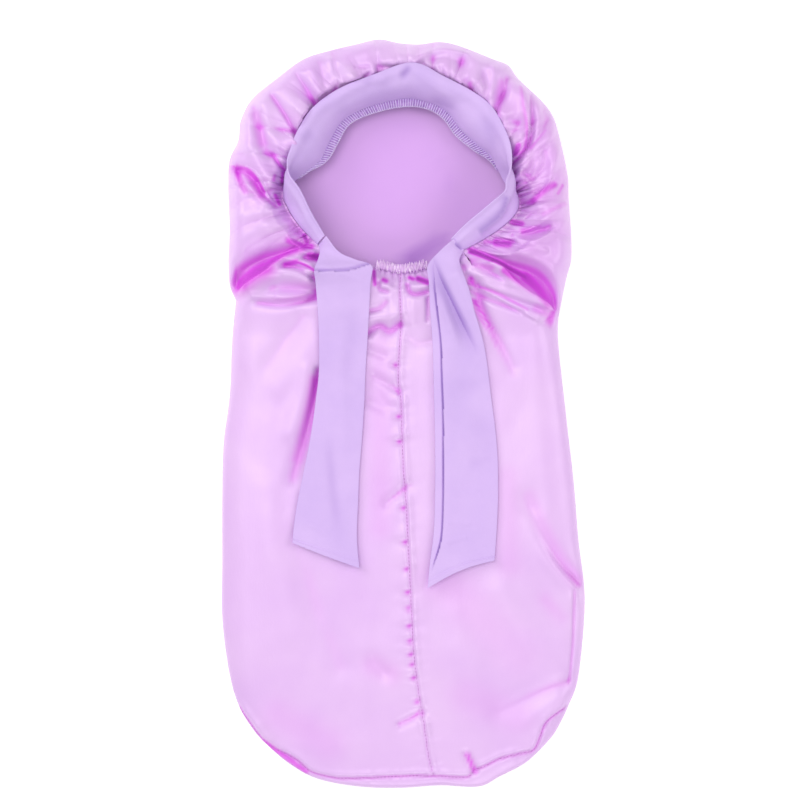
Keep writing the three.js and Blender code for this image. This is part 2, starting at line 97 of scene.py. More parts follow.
# y, height of the front over the surface, width of its rolled side
FULLNESS = [
    (-300, 9, 12), (-260, 12, 16), (-180, 15, 22), (-80, 17, 26), (0, 19, 26), (60, 22, 22),
    (90, 27, 16), (120, 34, 15), (180, 37, 15), (250, 36, 15), (300, 32, 14),
]
# Radius of the rolled outline, and how far over the surface the deepest crease stays
EDGE_RADIUS, LOWEST = 4.5, 5
# Folds: half width at the first and the last point, rise at both, then the line. A crease has a
# negative rise.
FOLDS = [
    # left hood, from the waist up
    (10, 6, -15, -9, [(-138, 104), (-128, 117), (-113, 125), (-94, 130), (-72, 134)]),
    (3, 2.5, 5, 4, [(-131, 98), (-116, 111), (-103, 122), (-88, 129), (-68, 131)]),
    (3, 3, -7, -7, [(-79, 126), (-68, 125)]),
    (2.2, 2, 3, 3, [(-94, 125), (-80, 122), (-70, 114)]),
    (3, 3, -7, -8, [(-96, 119), (-83, 116), (-70, 108)]),
    (6, 5, 4, 4, [(-127, 99), (-112, 109), (-92, 113), (-73, 107)]),
    (6, 5, -3, -6, [(-105, 102), (-87, 100), (-70, 99)]),
    (3, 3, 2, 2, [(-121, 94), (-99, 94), (-81, 94)]),
    (3, 3, -3, -5, [(-116, 89), (-96, 87), (-80, 90), (-68, 94)]),
    (16, 12, 3, 2, [(-132, 151), (-113, 155), (-97, 154)]),
    (7, 7, -5, -8, [(-92, 158), (-80, 147), (-67, 136)]),
    (2, 2, 4, 3, [(-83, 134), (-91, 139), (-89, 144), (-80, 142)]),
    (4, 4, -5, -6, [(-133, 197), (-124, 192), (-117, 184), (-109, 173), (-102, 168)]),
    (2.5, 2.5, -4, -2, [(-133, 195), (-130, 185), (-126, 179)]),
    (3, 3, 3, 3, [(-125, 184), (-119, 177), (-110, 169)]),
    (6, 4, 6, 5, [(-127, 238), (-124, 219), (-116, 201), (-106, 187), (-96, 180)]),
    (5, 3.5, -4, -2, [(-120, 245), (-116, 231), (-112, 217), (-107, 205)]),
    (5, 4, 3, 3, [(-113, 248), (-107, 227), (-99, 213), (-90, 203)]),
    (1.8, 1.8, -3, -4, [(-105, 208), (-99, 200), (-92, 193)]),
    (1.5, 1.5, -2, -2, [(-99, 212), (-94, 206), (-88, 205)]),
    (2.5, 2.2, -3, -5, [(-105, 255), (-96, 242), (-89, 230), (-83, 222)]),
    (8, 6, 2, 3, [(-92, 261), (-86, 247), (-80, 235)]),
    (2.5, 2.5, -2, -5, [(-86, 273), (-76, 258), (-68, 243)]),
    (5, 4, 3, 3, [(-73, 274), (-68, 262), (-64, 253)]),
    (2.5, 2.5, 2, 3, [(-59, 285), (-55, 272), (-50, 261)]),
    (3.5, 3, -3, -6, [(-53, 264), (-57, 255), (-62, 249)]),
    (4, 4, -2, -3, [(-68, 282), (-65, 270), (-64, 261)]),
    (6, 5, 2, 3, [(-46, 282), (-43, 272), (-41, 264)]),
    (2, 2, -2, -3, [(-38, 278), (-28, 278)]),
    (2.2, 2.2, -3, -4, [(-34, 267), (-28, 273)]),
    (5, 4, 2, 3, [(-30, 291), (-25, 282), (-22, 275)]),
    (4, 3, 2, 3, [(-24, 298), (-20, 288), (-18, 282)]),
    (3, 3, -3, -7, [(-20, 279), (-12, 278), (-4, 275)]),
    (3, 3, -3, -3, [(-21, 275), (-20, 269)]),
    # crown to the right twist
    (2.5, 2.5, 3, 3, [(8, 281), (16, 288), (30, 293), (50, 291)]),
    (5, 4, -2, -2, [(16, 284), (31, 286), (47, 283)]),
    (3, 3, -3, -5, [(16, 280), (21, 275), (27, 270)]),
    (2.5, 2.5, -3, -5, [(30, 278), (33, 267)]),
    (5, 4, 2, 3, [(36, 283), (41, 274), (45, 264)]),
    (3.5, 3.5, -4, -8, [(49, 267), (53, 260), (57, 254)]),
    (6, 4, 3, 3, [(53, 290), (57, 275), (62, 259)]),
    (2.5, 2.5, 3, 3, [(72, 277), (71, 262), (69, 248)]),
    (4, 3, -2, -2, [(65, 274), (66, 258)]),
    (3.5, 3, -4, -7, [(83, 269), (79, 254), (72, 240)]),
    (7, 5, 3, 3, [(88, 261), (88, 250), (83, 240)]),
    (3.5, 3.5, 5, 5, [(96, 264), (98, 243), (99, 227), (93, 214), (85, 205)]),
    (4, 3, -3, -4, [(76, 233), (85, 235), (92, 234)]),
    (4, 3.5, -5, -8, [(96, 221), (92, 213), (85, 210)]),
    (2.2, 2.2, -3, -6, [(102, 256), (103, 229), (99, 214), (88, 201)]),
    (3, 3, 3, 3, [(108, 254), (108, 237), (106, 219), (98, 206)]),
    (4.5, 3, -4, -4, [(118, 240), (111, 227), (103, 213)]),
    (5, 3.5, 4, 4, [(123, 227), (114, 218), (104, 207), (94, 198)]),
    (2.2, 2.2, -4, -4, [(88, 192), (94, 196), (99, 192)]),
    (2.2, 2.2, -4, -4, [(91, 185), (98, 186)]),
    (2.2, 2.2, -4, -4, [(93, 178), (100, 181)]),
    (3, 2.5, -3, -3, [(114, 211), (112, 199), (104, 189)]),
    (3, 2.5, -3, -3, [(104, 203), (101, 190)]),
    (3, 2.5, 4, 4, [(126, 212), (120, 199), (116, 184), (106, 172)]),
    (4, 4, -6, -10, [(120, 185), (112, 178), (104, 171), (96, 168)]),
    (3, 3, -3, -2, [(129, 187), (125, 178)]),
    # right hood under the twist
    (5, 4, 3, 3, [(130, 170), (114, 167), (98, 164)]),
    (3, 3, -4, -7, [(103, 161), (96, 156), (88, 154)]),
    (3, 2.5, 3, 4, [(127, 164), (110, 154), (91, 146)]),
    (3.5, 3, -4, -6, [(116, 150), (104, 146), (88, 145)]),
    (3, 3, 2, 2, [(130, 154), (119, 144), (105, 140)]),
    (3.5, 3.5, -6, -9, [(88, 138), (77, 139), (66, 139)]),
    (2.5, 2.5, 3, 5, [(113, 131), (93, 133), (76, 130), (62, 135)]),
    (5, 5, 5, 7, [(76, 132), (96, 130), (113, 122), (123, 107), (127, 92)]),
    (5, 10, -9, -16, [(61, 131), (81, 122), (101, 115), (114, 106), (120, 94), (123, 80)]),
    (3.5, 3.5, 6, 6, [(47, 127), (61, 126), (77, 118), (89, 107), (102, 97), (121, 78)]),
    (4, 4, -5, -6, [(59, 121), (68, 115), (80, 108)]),
    (2.5, 2.5, 3, 3, [(52, 114), (66, 110), (86, 104)]),
    (3, 4, -4, -7, [(60, 103), (81, 94), (102, 86), (120, 81)]),
    (3, 3, 3, 3, [(56, 108), (77, 99), (101, 90), (120, 85)]),
    (2, 2, -3, -3, [(53, 99), (69, 91), (94, 81)]),
    (4, 4, -4, -5, [(48, 119), (52, 112), (60, 104)]),
    # nape
    (2, 2, -3.5, -4, [(3, 104), (5, 98), (10, 96), (19, 98)]),
    (2.4, 2.4, 2.5, 2.5, [(7, 103), (18, 103)]),
    (2, 2, -3.5, -3, [(-20, 106), (-19, 100), (-13, 98)]),
    (2.4, 2.4, 2, 2, [(-17, 104), (-12, 103)]),
    (2.5, 2.5, -3, -2, [(-26, 82), (-19, 84), (-14, 89)]),
    (4, 4, 2, 1.5, [(-12, 101), (-10, 87), (-8, 77)]),
    (3.5, 3.5, -5, -5, [(-28, 65), (-19, 70), (-11, 66), (-3, 71)]),
    (5, 4, 2, 2, [(-25, 76), (-14, 77), (-5, 80)]),
    (2, 1.5, -3, -2, [(20, 93), (19, 74)]),
    (4, 4, 2, 2, [(8, 90), (7, 74)]),
    (4, 4, -1.5, -1.5, [(4, 60), (12, 56), (22, 58)]),
    (6, 6, -1.5, -1.5, [(-24, 22), (-14, 8), (-4, 4)]),
    (4, 3, -2, -2, [(-28, 51), (-16, 46)]),
    (3, 3, -2, -3, [(-24, 30), (-11, 23), (-1, 17)]),
    (5, 4, -2, -1, [(-28, 10), (-16, 3)]),
    (3, 3, -2, -3, [(-14, -71), (-5, -64), (4, -56)]),
    # sleeve
    (4, 6, -6, -3, [(-67, 34), (-70, 15), (-76, -9), (-83, -33), (-88, -51)]),
    (5, 7, 2, 2, [(-76, 35), (-81, 11), (-89, -14)]),
    (4, 5, -5, -2, [(60, 91), (68, 71), (77, 55), (86, 37)]),
    (7, 4, -2, -7, [(98, -67), (109, -93), (124, -118), (144, -138)]),
    (7, 6, 2, 5, [(104, -85), (116, -114), (140, -141)]),
    (6, 6, -2, -2, [(-16, -206), (-24, -197)]),
    (9, 9, 2, 1.5, [(77, -141), (101, -181), (129, -205)]),
    (9, 9, -1.5, -1.5, [(112, -148), (128, -162)]),
    (7, 5, -1.5, -2.5, [(77, -236), (109, -221), (131, -213)]),
    (9, 8, 1.5, 2.5, [(95, -250), (125, -229)]),
    (6, 8, -2, -1, [(-80, 78), (-95, 55), (-107, 39)]),
    (9, 9, 1.5, 1, [(-72, 60), (-88, 36), (-100, 22)]),
    (12, 12, 1.5, 1, [(-96, 84), (-112, 62), (-122, 40)]),
    (10, 12, 1.5, 1.5, [(-110, -60), (-100, -120), (-88, -170)]),
    (12, 12, -1.5, -1.5, [(-84, -100), (-66, -160), (-50, -200)]),
    (10, 10, 1.2, 1.2, [(40, -160), (52, -200), (60, -240)]),
    (3, 3, -3, -4, [(50, -271), (57, -285)]),
    (4, 3, -3, -3, [(-110, -262), (-92, -275), (-80, -284)]),
    (1.4, 1.4, -2, -2, [(136, -141), (135, -181), (132, -213)]),
    (3, 3, -3, -3, [(17, -238), (7, -242), (-3, -247)]),
]
# Lips, where one fold laps over another: width of the gentle side, rise at the first and the last
# point, then the line. The gentle side is on the line's left, and the other drops over LIP_DROP.
LIPS = [
    (9, 6, 7, [(-65, 132), (-80, 133), (-92, 129), (-103, 122), (-112, 114), (-128, 103), (-134, 96)]),
    (6, 5, 3, [(-72, 113), (-79, 115), (-88, 117), (-100, 116)]),
    (9, 4, 2, [(-104, 92), (-88, 93), (-70, 98)]),
    (8, 4, 3, [(-103, 169), (-109, 176), (-114, 186), (-120, 194), (-129, 199)]),
    (10, 7, 7, [(123, 77), (121, 82), (113, 90), (101, 97), (89, 107), (81, 117), (71, 123), (61, 127),
                (53, 129)]),
    (9, 4, 3, [(55, 104), (77, 92), (101, 77), (113, 72)]),
    (6, 4, 3, [(88, 204), (96, 212), (100, 226), (101, 246)]),
    (6, 4, 3, [(120, 190), (108, 176), (92, 170)]),
    (6, 4, 2, [(122, 150), (106, 139), (88, 141)]),
]
LIP_DROP = 0.9
# Gathers along the band's seam: how many, rise, distance where they are full, distance where they end
GATHERS = [(58, 0.8, 2, 14), (34, 1.7, 7, 45), (19, 2.8, 14, 90)]
# Where the band twists and puckers the satin most: place along its seam, half width, how much more
TWISTS = [(0.80, 0.085, 3.2), (0.17, 0.05, 2.2)]
# How far a gather strays along the seam, how rounded its top is, and how much gathers differ in height
GATHER_DRIFT, GATHER_POWER, GATHER_SWELL = 1.2, 0.8, 0.9
# The broad gathers lie between these places along the seam, and have this share of their height beyond
BROAD_FROM, BROAD_TO, BROAD_BEYOND = 0.16, 0.84, 0.15
# Painted shade and shadow, saturated magenta, in deep folds and beside the ties: half widths on the line's
# left and right side, how much of it at the first and the last point, then the line. Above 1 it is darker.
SHADES = [
    # left, from the crown down
    (1.8, 1.8, 0.7, 0.9, [(-54, 261), (-58, 256), (-60, 252)]),
    (1.2, 1.2, 0.5, 0.9, [(-69, 252), (-66, 243)]),
    (1.2, 2.5, 0.4, 0.6, [(-105, 255), (-96, 242), (-89, 230), (-84, 223)]),
    (4, 4, 0.35, 0.5, [(-119, 241), (-113, 217)]),
    (1.3, 2.2, 0.7, 1.2, [(-105, 208), (-99, 200), (-92, 193)]),
    (1.3, 1.3, 1.2, 1.2, [(-97, 194), (-98, 187)]),
    (1.3, 1.3, 0.7, 0.7, [(-103, 191), (-104, 187)]),
    (1.6, 1.6, 1.2, 1.4, [(-103, 176), (-100, 169)]),
    (1.5, 6, 0.9, 1.2, [(-134, 199), (-125, 196), (-118, 189), (-112, 178)]),
    (3.5, 3, 1.1, 0.6, [(-134, 197), (-132, 189), (-127, 179)]),
    (1.5, 1.5, 0.3, 0.6, [(-128, 179), (-116, 176), (-103, 167)]),
    (6, 6, 0.2, 0.5, [(-95, 162), (-79, 141)]),
    (2, 2, 1.6, 1.6, [(-80, 144), (-78, 139)]),
    (3, 3, 1.0, 1.2, [(-92, 139), (-83, 136), (-75, 135)]),
    (7, 9, 1.1, 1.2, [(-132, 105), (-122, 113), (-112, 118)]),
    (5, 4, 1.2, 0.9, [(-112, 118), (-97, 128), (-80, 134)]),
    (3.6, 3.6, 1.4, 1.4, [(-75, 127), (-67, 126)]),
    (2.5, 2.5, 1.1, 1.1, [(-95, 120), (-86, 122)]),
    (1.3, 1.3, 1.1, 1.3, [(-85, 122), (-76, 118), (-70, 114)]),
    (4.5, 4.5, 0.2, 0.35, [(-96, 102), (-70, 102)]),
    (4, 2, 0.15, 0.5, [(-113, 89), (-91, 90), (-68, 96)]),
    (5, 5, 1.0, 0.6, [(-69, 27), (-73, 5), (-79, -19), (-84, -36)]),
    # nape, from the left
    (1.6, 1.6, 1.4, 1.2, [(-24, 115), (-23, 104)]),
    (2, 2, 1.2, 1.2, [(-16, 108), (-14, 107)]),
    (1.5, 1.5, 0.4, 0.3, [(-20, 104), (-19, 100), (-13, 98)]),
    (2, 2, 0.4, 0.3, [(-26, 82), (-19, 84), (-14, 89)]),
    (2.5, 2.5, 0.5, 0.6, [(-28, 65), (-19, 70), (-11, 66), (-3, 71)]),
    (1.8, 1.8, 1.2, 1.2, [(5, 110), (8, 109)]),
    (2.5, 2.5, 1.6, 1.5, [(12, 109), (19, 106)]),
    (1.8, 1.8, 0.5, 0.6, [(3, 104), (5, 98), (10, 96), (19, 98)]),
    (1.2, 1.2, 0.4, 0.2, [(19, 91), (20, 79)]),
    (1.5, 1.5, 0.2, 0.7, [(-12, -69), (-5, -64), (2, -58)]),
    (1.4, 1.4, 0.2, 0.8, [(-9, 23), (-4, 17)]),
    (1.4, 1.4, 0.2, 0.8, [(-1, -247), (6, -243), (12, -238)]),
    # broad painted shade of the sleeve's and right hood's soft hollows, and painted shadow by the ties
    (10, 10, 0.12, 0.14, [(-18, 60), (-18, 0), (-18, -90)]),
    (18, 18, 0.14, 0.08, [(30, -130), (60, -160), (90, -190)]),
    (10, 10, 0.12, 0.12, [(82, -50), (84, -120)]),
    (6, 6, 0.15, 0.3, [(100, -66), (112, -92), (126, -117), (138, -132)]),
    (9, 9, 0.16, 0.16, [(-24, -200), (-10, -207)]),
    (14, 14, 0.12, 0.12, [(-100, -240), (-60, -262)]),
    (14, 14, 0.1, 0.12, [(50, -225), (90, -240)]),
    (24, 24, 0.14, 0.16, [(100, 245), (112, 215), (118, 165), (104, 125)]),
    # foot
    (2, 3, 0.9, 0.9, [(-112, -261), (-92, -275), (-78, -285)]),
    (2, 2, 0.9, 1.0, [(51, -272), (57, -286)]),
    (3, 2, 0.4, 0.7, [(125, -119), (132, -128), (139, -136)]),
    (1.2, 1.2, 0.3, 0.3, [(136, -141), (135, -181), (132, -213)]),
    # right, from the crown down
    (2, 2, 0.7, 0.8, [(53, 264), (55, 256)]),
    (3.5, 3.5, 0.45, 0.5, [(79, 266), (74, 239)]),
    (0.8, 2.5, 0.4, 0.9, [(95, 262), (96, 249), (99, 232), (98, 214), (93, 208)]),
    (2.5, 2.5, 1.2, 1.2, [(92, 215), (90, 209)]),
    (1.3, 1.3, 0.6, 0.4, [(102, 213), (114, 228)]),
    (3, 3, 0.9, 1.0, [(121, 184), (114, 180), (104, 171)]),
    (1.6, 1.6, 0.7, 0.7, [(128, 184), (124, 177)]),
    (2.5, 2.5, 0.4, 0.4, [(130, 169), (112, 160)]),
    (2.5, 2.5, 1.3, 1.3, [(88, 155), (95, 153)]),
    (3, 3, 0.9, 0.6, [(96, 147), (109, 149)]),
    (3.6, 3.6, 1.4, 1.4, [(75, 138), (84, 137)]),
    (1.8, 1.8, 0.8, 0.8, [(66, 139), (75, 138)]),
    (4, 2, 1.6, 1.6, [(54, 131), (77, 121), (98, 110)]),
    (7, 5, 1.4, 0.9, [(98, 110), (109, 99), (116, 88)]),
    (3, 3, 1.2, 0.6, [(81, 115), (93, 106), (105, 97)]),
    (3, 3, 0.5, 0.6, [(58, 120), (70, 117)]),
    (1.4, 1.4, 0.9, 0.4, [(52, 105), (76, 96), (98, 83)]),
    (4, 4, 0.4, 0.5, [(106, 84), (117, 78)]),
    (2.6, 2.6, 1.4, 0.9, [(54, 108), (56, 105)]),
    (1.6, 1.6, 1.1, 0.9, [(57, 90), (64, 78), (70, 68)]),
    (1.8, 2, 0.9, 0.4, [(55, 91), (61, 76), (69, 65), (74, 54)]),
    (2, 2, 0.25, 0.1, [(74, 54), (87, 31)]),
]
CENTRE_SEAM = [
    (-2, 112), (-3, 99), (-2, 75), (-3, 55), (-4, 39), (-4, 23), (-2, 11), (-1, -21), (0, -45),
    (2, -69), (4, -109), (6, -149), (8, -189), (12, -221), (16, -245), (20, -273), (24, -288),
]
DIMPLES = [39, -2, -22, -75, -102, -123, -142, -155, -169, -181, -191, -199, -210, -229]
# From the left over the foot to the right
END_SEAM = [
    (-131, -234), (-123, -246), (-113, -259), (-103, -267), (-91, -273), (-83, -278), (-75, -285),
    (-63, -289), (-47, -291), (-19, -290), (5, -289), (25, -289), (50, -290), (57, -284), (65, -281),
    (77, -275), (93, -271), (104, -268), (109, -257), (113, -247), (119, -241), (128, -235),
]


def smooth(t):
    t = np.clip(t, 0, 1)
    return t * t * (3 - 2 * t)


def mix(a, b, t):
    return a + (b - a) * t


def bell(off, width, power=2):
    """1 in the middle, and next to nothing at two or three half widths from it."""
    return np.exp(-((off / width) ** power))


def within(value, start, end, fade, last_fade=None):
    """1 from start to end, but fading to 0 over so much inside each of them."""
    return smooth((value - start) / fade) * smooth((end - value) / (last_fade or fade))


def unit(vectors):
    """The same directions, each of length 1."""
    return vectors / np.linalg.norm(vectors, axis=1)[:, None]


def run_of(line):
    """A line's length in plan."""
    return np.hypot(*np.diff(line[:, :2], axis=0).T).sum()


def curve(rows, pitch=0.8):
    """A smooth line through a table's rows, in all of their columns, cut into even steps in plan."""
    rows = np.array(rows, float)
    ends = np.vstack([rows[:1], rows, rows[-1:]])
    t = np.linspace(0, 1, 24, endpoint=False)[:, None]
    parts = []
    for a, b, c, d in zip(ends, ends[1:], ends[2:], ends[3:]):
        leave, arrive, rise = (c - a) / 2, (d - b) / 2, c - b
        bend = 3 * rise - 2 * leave - arrive
        parts.append(b + t * (leave + t * (bend + t * (leave + arrive - 2 * rise))))
    fine = np.vstack(parts + [rows[-1:]])
    run = np.r_[0, np.cumsum(np.hypot(*np.diff(fine[:, :2], axis=0).T))]
    even = np.linspace(0, run[-1], max(2, round(run[-1] / pitch)) + 1)
    return np.column_stack([np.interp(even, run, column) for column in fine.T])


# The hood's puffs stand nearer to the eye than the outline, so lines on them are judged this much too
# wide. The hood begins at this y, and reaches its height over this distance.
PUFF_READING, READING_MIDDLE = 0.02, (-3, 11)
HOOD_START, HOOD_CLIMB = 70, 45


def raised_curve(rows):
    """A smooth line through a table's places, drawn in to the true places where it lies on the hood."""
    rows = np.array(rows, float)
    share = PUFF_READING * smooth((rows[:, 1:] - HOOD_START) / HOOD_CLIMB)
    return curve(rows - share * (rows - READING_MIDDLE))


def along(line, share):
    """Rows of the line at each share of its length, from 0 to 1."""
    places = np.linspace(0, 1, len(line))
    return np.column_stack([np.interp(share, places, column) for column in line.T])


def nearest(line, points):
    """Distance in plan of each point from the line, the share of its length there, and the side, + left."""
    tree = kdtree.KDTree(len(line))
    for i, row in enumerate(line):
        tree.insert((row[0], row[1], 0), i)
    tree.balance()
    index = np.array([tree.find((x, y, 0))[1] for x, y in points], int)
    distance = np.full(len(points), np.inf)
    share = np.zeros(len(points))
    side = np.zeros(len(points))
    for step in (-1, 0):
        i = np.clip(index + step, 0, len(line) - 2)
        start, run = line[i, :2], line[i + 1, :2] - line[i, :2]
        off = points - start
        t = np.clip((off * run).sum(1) / np.maximum((run * run).sum(1), 1e-9), 0, 1)
        away = np.hypot(*(off - t[:, None] * run).T)
        closer = away < distance
        distance = np.where(closer, away, distance)
        share = np.where(closer, (i + t) / (len(line) - 1), share)
        side = np.where(closer, np.sign(run[:, 0] * off[:, 1] - run[:, 1] * off[:, 0]), side)
    return distance, share, side


def close_by(line, points, width):
    """The points' numbers within three widths of the line's box, then their distance, share and side."""
    low, high = line.min(0) - 3 * width, line.max(0) + 3 * width
    near = np.nonzero(((points > low) & (points < high)).all(1))[0]
    return near, *nearest(line, points[near])


def noises(x, y, seed):
    """Soft noise from -1 to 1 at each x and y."""
    return np.array([noise.noise((a, b, seed)) for a, b in np.broadcast(x, y)])


def clouds(points, size, seed, stretch=(1, 1)):
    """Soft noise over the plan, with lumps of about this size in millimetres."""
    return noises(points[:, 0] / size / stretch[0], points[:, 1] / size / stretch[1], seed)


hood_edge, right_edge = curve(HOOD_EDGE), curve(RIGHT_EDGE)
end_edge, left_edge = curve(END_EDGE), curve(LEFT_EDGE)
waist = curve(WAIST)
band_line, nape_line = curve(BAND), curve(NAPE)
outline = np.vstack([hood_edge[:-1], right_edge[:-1], end_edge[:-1], left_edge])
band_lean = np.hypot(*(band_line[:, 4:6] - band_line[:, :2]).T)
# x, y, z and lap of the seam, then how far the band leans out over the satin, and how high its edge is
seam_ring = np.vstack([
    np.column_stack([band_line[:, :4], band_lean, band_line[:, 6]])[:-1],
    np.pad(nape_line, ((0, 0), (0, 2))),
])
centre_seam, end_seam = curve(CENTRE_SEAM), curve(END_SEAM)
# The dimples lie this far to the left of the front seam
DIMPLE_OFF = 2
dimples = [(np.interp(-y, -centre_seam[:, 1], centre_seam[:, 0]) - DIMPLE_OFF, y) for y in DIMPLES]
fold_lines = [(fold[:4], raised_curve(fold[4])) for fold in FOLDS]
lip_lines = [(lip[:3], raised_curve(lip[3])) for lip in LIPS]
# Creases fall off more sharply than ridges, which are also this much wider
CREASE_POWER, RIDGE_POWER, RIDGE_SPREAD = 1.6, 2.0, 1.15
# Height above the plain form that no fold passes, since limp satin won't stand up in a peak
MOST_RISE = 8
# The satin puffs up beside the band's free edge: how much, how far past it and over what half width, where
# the band leans out more than LEAN_START, and in full LEAN_CLIMB later. BAND_ROOM is left under the band.
PUFF, PUFF_PLACE, PUFF_WIDTH = 4, 4, 7
LEAN_START, LEAN_CLIMB, BAND_ROOM = 12, 8, 1.8
# Distances from the band's seam and from the outline over which folds and wrinkles come in, and from
# the outline for gathers
FOLD_FADE, WRINKLE_FADE, GATHER_FADE = (10, 8), (12, 6), 5


def form(points):
    """Height of the front before its folds, its distance from outline and seam, and the room over it."""
    edge = nearest(outline, points)[0]
    seam, share, _ = nearest(seam_ring, points)
    ring = along(seam_ring, share)
    levels = np.array(FULLNESS, float)
    step = np.clip(np.searchsorted(levels[:, 0], points[:, 1], side="right") - 1, 0, len(levels) - 2)
    low, high = levels[step], levels[step + 1]
    blend = smooth((points[:, 1] - low[:, 0]) / (high[:, 0] - low[:, 0]))
    height, roll = mix(low[:, 1], high[:, 1], blend), mix(low[:, 2], high[:, 2], blend)
    rolled = np.sqrt(1 - (1 - np.clip(edge / roll, 0, 1)) ** 2)
    puff = PUFF * smooth((ring[:, 4] - LEAN_START) / LEAN_CLIMB)
    puff = puff * bell(seam - ring[:, 4] - PUFF_PLACE, PUFF_WIDTH)
    front = mix(EDGE_RADIUS, height + puff, rolled)
    under_band = ring[:, 2] + (ring[:, 5] - ring[:, 2]) * seam / np.maximum(ring[:, 4], 0.1) - BAND_ROOM
    room = np.where(seam < ring[:, 4], np.maximum(under_band, ring[:, 2]), np.inf)
    return mix(ring[:, 2], front, smooth(seam / ring[:, 3])), edge, seam, room


def folds(points):
    """Height that the folds add."""
    total = np.zeros(len(points))
    for (width0, width1, rise0, rise1), line in fold_lines:
        near, distance, share, _ = close_by(line, points, max(width0, width1))
        width, rise = mix(width0, width1, share), mix(rise0, rise1, share)
        width *= np.where(rise < 0, 1.0, RIDGE_SPREAD)
        total[near] += rise * bell(distance, width, np.where(rise < 0, CREASE_POWER, RIDGE_POWER))
    for (width, rise0, rise1), line in lip_lines:
        near, distance, share, side = close_by(line, points, width)
        rise = mix(rise0, rise1, share) * within(share, -0.02, 1.02, 0.15)
        total[near] += rise * bell(distance, np.where(side > 0, width, LIP_DROP), CREASE_POWER)
    return total


def gathers(places, seam):
    """Height of the gathers at each place along the band's seam, from 0 to 1."""
    total = np.zeros(len(places))
    for number, (count, rise, full, end) in enumerate(GATHERS):
        turn = count * places
        drift = noises(0.3 * turn, seam / 75, 7.3 * number)
        swell = noises(0.5 * turn, seam / 60, 3.1 * number + 4.5)
        pleat = 2 * np.abs(np.sin(math.pi * (turn + GATHER_DRIFT * drift))) ** GATHER_POWER - 1.1
        if number == 0:
            for at, wide, more in TWISTS:
                swell = swell + more * bell(places - at, wide)
        else:
            rise = rise * mix(BROAD_BEYOND, 1, within(places, BROAD_FROM, BROAD_TO, 0.1))
        total += rise * (1 + GATHER_SWELL * swell) * pleat * within(seam, 0, end, full, end - full)
    return total * within(places, 0, 1, 0.03)


def dimple(points, spot, left, right, down):
    """1 at a dimple, with half widths to its left, to its right and along the seam."""
    wide = np.where(points[:, :1] < spot[0], [[left, down]], [[right, down]])
    return np.exp(-(((points - spot) / wide) ** 2).sum(1))


# For the front seam and the end seam: length, depth and half width of the groove, and distance and half
# width of the ridge beside it. The pulled cloth puckers beside both by PUCKER.
CENTRE_RUN, CENTRE_GROOVE, CENTRE_RIDGE = 400, (1.3, 1.0), (2.8, 2.0)
END_RUN, END_GROOVE, END_RIDGE = 350, (2.2, 1.4), (3, 3)
PUCKER = 0.9
# Depth of a dimple and of the shallow fold across it, each with its half widths as dimple() takes them
DIMPLE_DEPTH, DIMPLE_WIDTHS = 2.6, (3.5, 1.8, 2.2)
DIMPLE_FOLD, DIMPLE_FOLD_WIDTHS = 0.9, (9, 9, 1.6)


def seam_marks(points):
    """The groove, puckers and dimples of the two seams."""
    distance, share, side = nearest(centre_seam, points)
    pucker = clouds(np.column_stack([distance * side * 0.35, share * CENTRE_RUN]), 5.0, 2.5)
    marks = -CENTRE_GROOVE[0] * bell(distance, CENTRE_GROOVE[1])
    ridge = np.where(distance * side > 0, 1.0, 0.4) * bell(distance - CENTRE_RIDGE[0], CENTRE_RIDGE[1])
    marks += ridge * (1 + 1.2 * pucker)
    marks += PUCKER * pucker * bell(distance, 9)
    total = np.where(distance < 40, marks, 0)
    for spot in dimples:
        total -= DIMPLE_DEPTH * dimple(points, spot, *DIMPLE_WIDTHS)
        total -= DIMPLE_FOLD * dimple(points, spot, *DIMPLE_FOLD_WIDTHS)
    distance, share, side = nearest(end_seam, points)
    pucker = clouds(np.column_stack([distance * side * 0.4, share * END_RUN]), 5.5, 8.5)
    total -= END_GROOVE[0] * bell(distance, END_GROOVE[1])
    total += np.where(side > 0, 1.1, -0.4) * bell(distance - END_RIDGE[0], END_RIDGE[1])
    total += PUCKER * pucker * bell(distance, 8)
    return total


def satin_front(points, places=None):
    """The front's height, with folds, gathers, seams and soft wrinkles."""
    height, edge, seam, room = form(points)
    calm = smooth(seam / FOLD_FADE[0]) * smooth(edge / FOLD_FADE[1])
    total = height + folds(points) * calm
    if places is not None:
        total += gathers(places, seam) * smooth(edge / GATHER_FADE)
    wrinkle = 0.9 * clouds(points, 46, 1.5, (0.8, 1.6)) + 0.28 * clouds(points, 15, 5.5, (0.8, 1.5))
    wrinkle += seam_marks(points)
    total += wrinkle * smooth(seam / WRINKLE_FADE[0]) * smooth(edge / WRINKLE_FADE[1])
    total = np.minimum(total, height + MOST_RISE * np.tanh((total - height) / MOST_RISE))
    total = np.minimum(total, room)
    return np.where(edge < 0.05, height, np.maximum(total, np.minimum(height, LOWEST)))


def lay_patch(bm, across, down, shape):
    """A grid of quads, put in place in millimetres by shape(u, v): its points, their u, v and its faces."""
    before = len(bm.faces)
    verts = bmesh.ops.create_grid(bm, x_segments=across, y_segments=down, size=0.5)["verts"]
    uv = np.array([vert.co[:2] for vert in verts]) + 0.5
    places = shape(uv[:, 0], uv[:, 1]) * MM
    for vert, place in zip(verts, places):
        vert.co = place
    bm.faces.ensure_lookup_table()
    faces = bm.faces[before:]
    for face in faces:
        face.smooth = True
    return verts, uv, faces


def spaced(share, dense):
    """Moves even shares towards both ends of the run by this much."""
    return share - dense * np.sin(2 * math.pi * share) / (2 * math.pi)


def columns(share):
    """Moves even shares towards both ends of the run and towards its middle, where the seam is."""
    return share - 0.45 * np.sin(4 * math.pi * share) / (4 * math.pi)


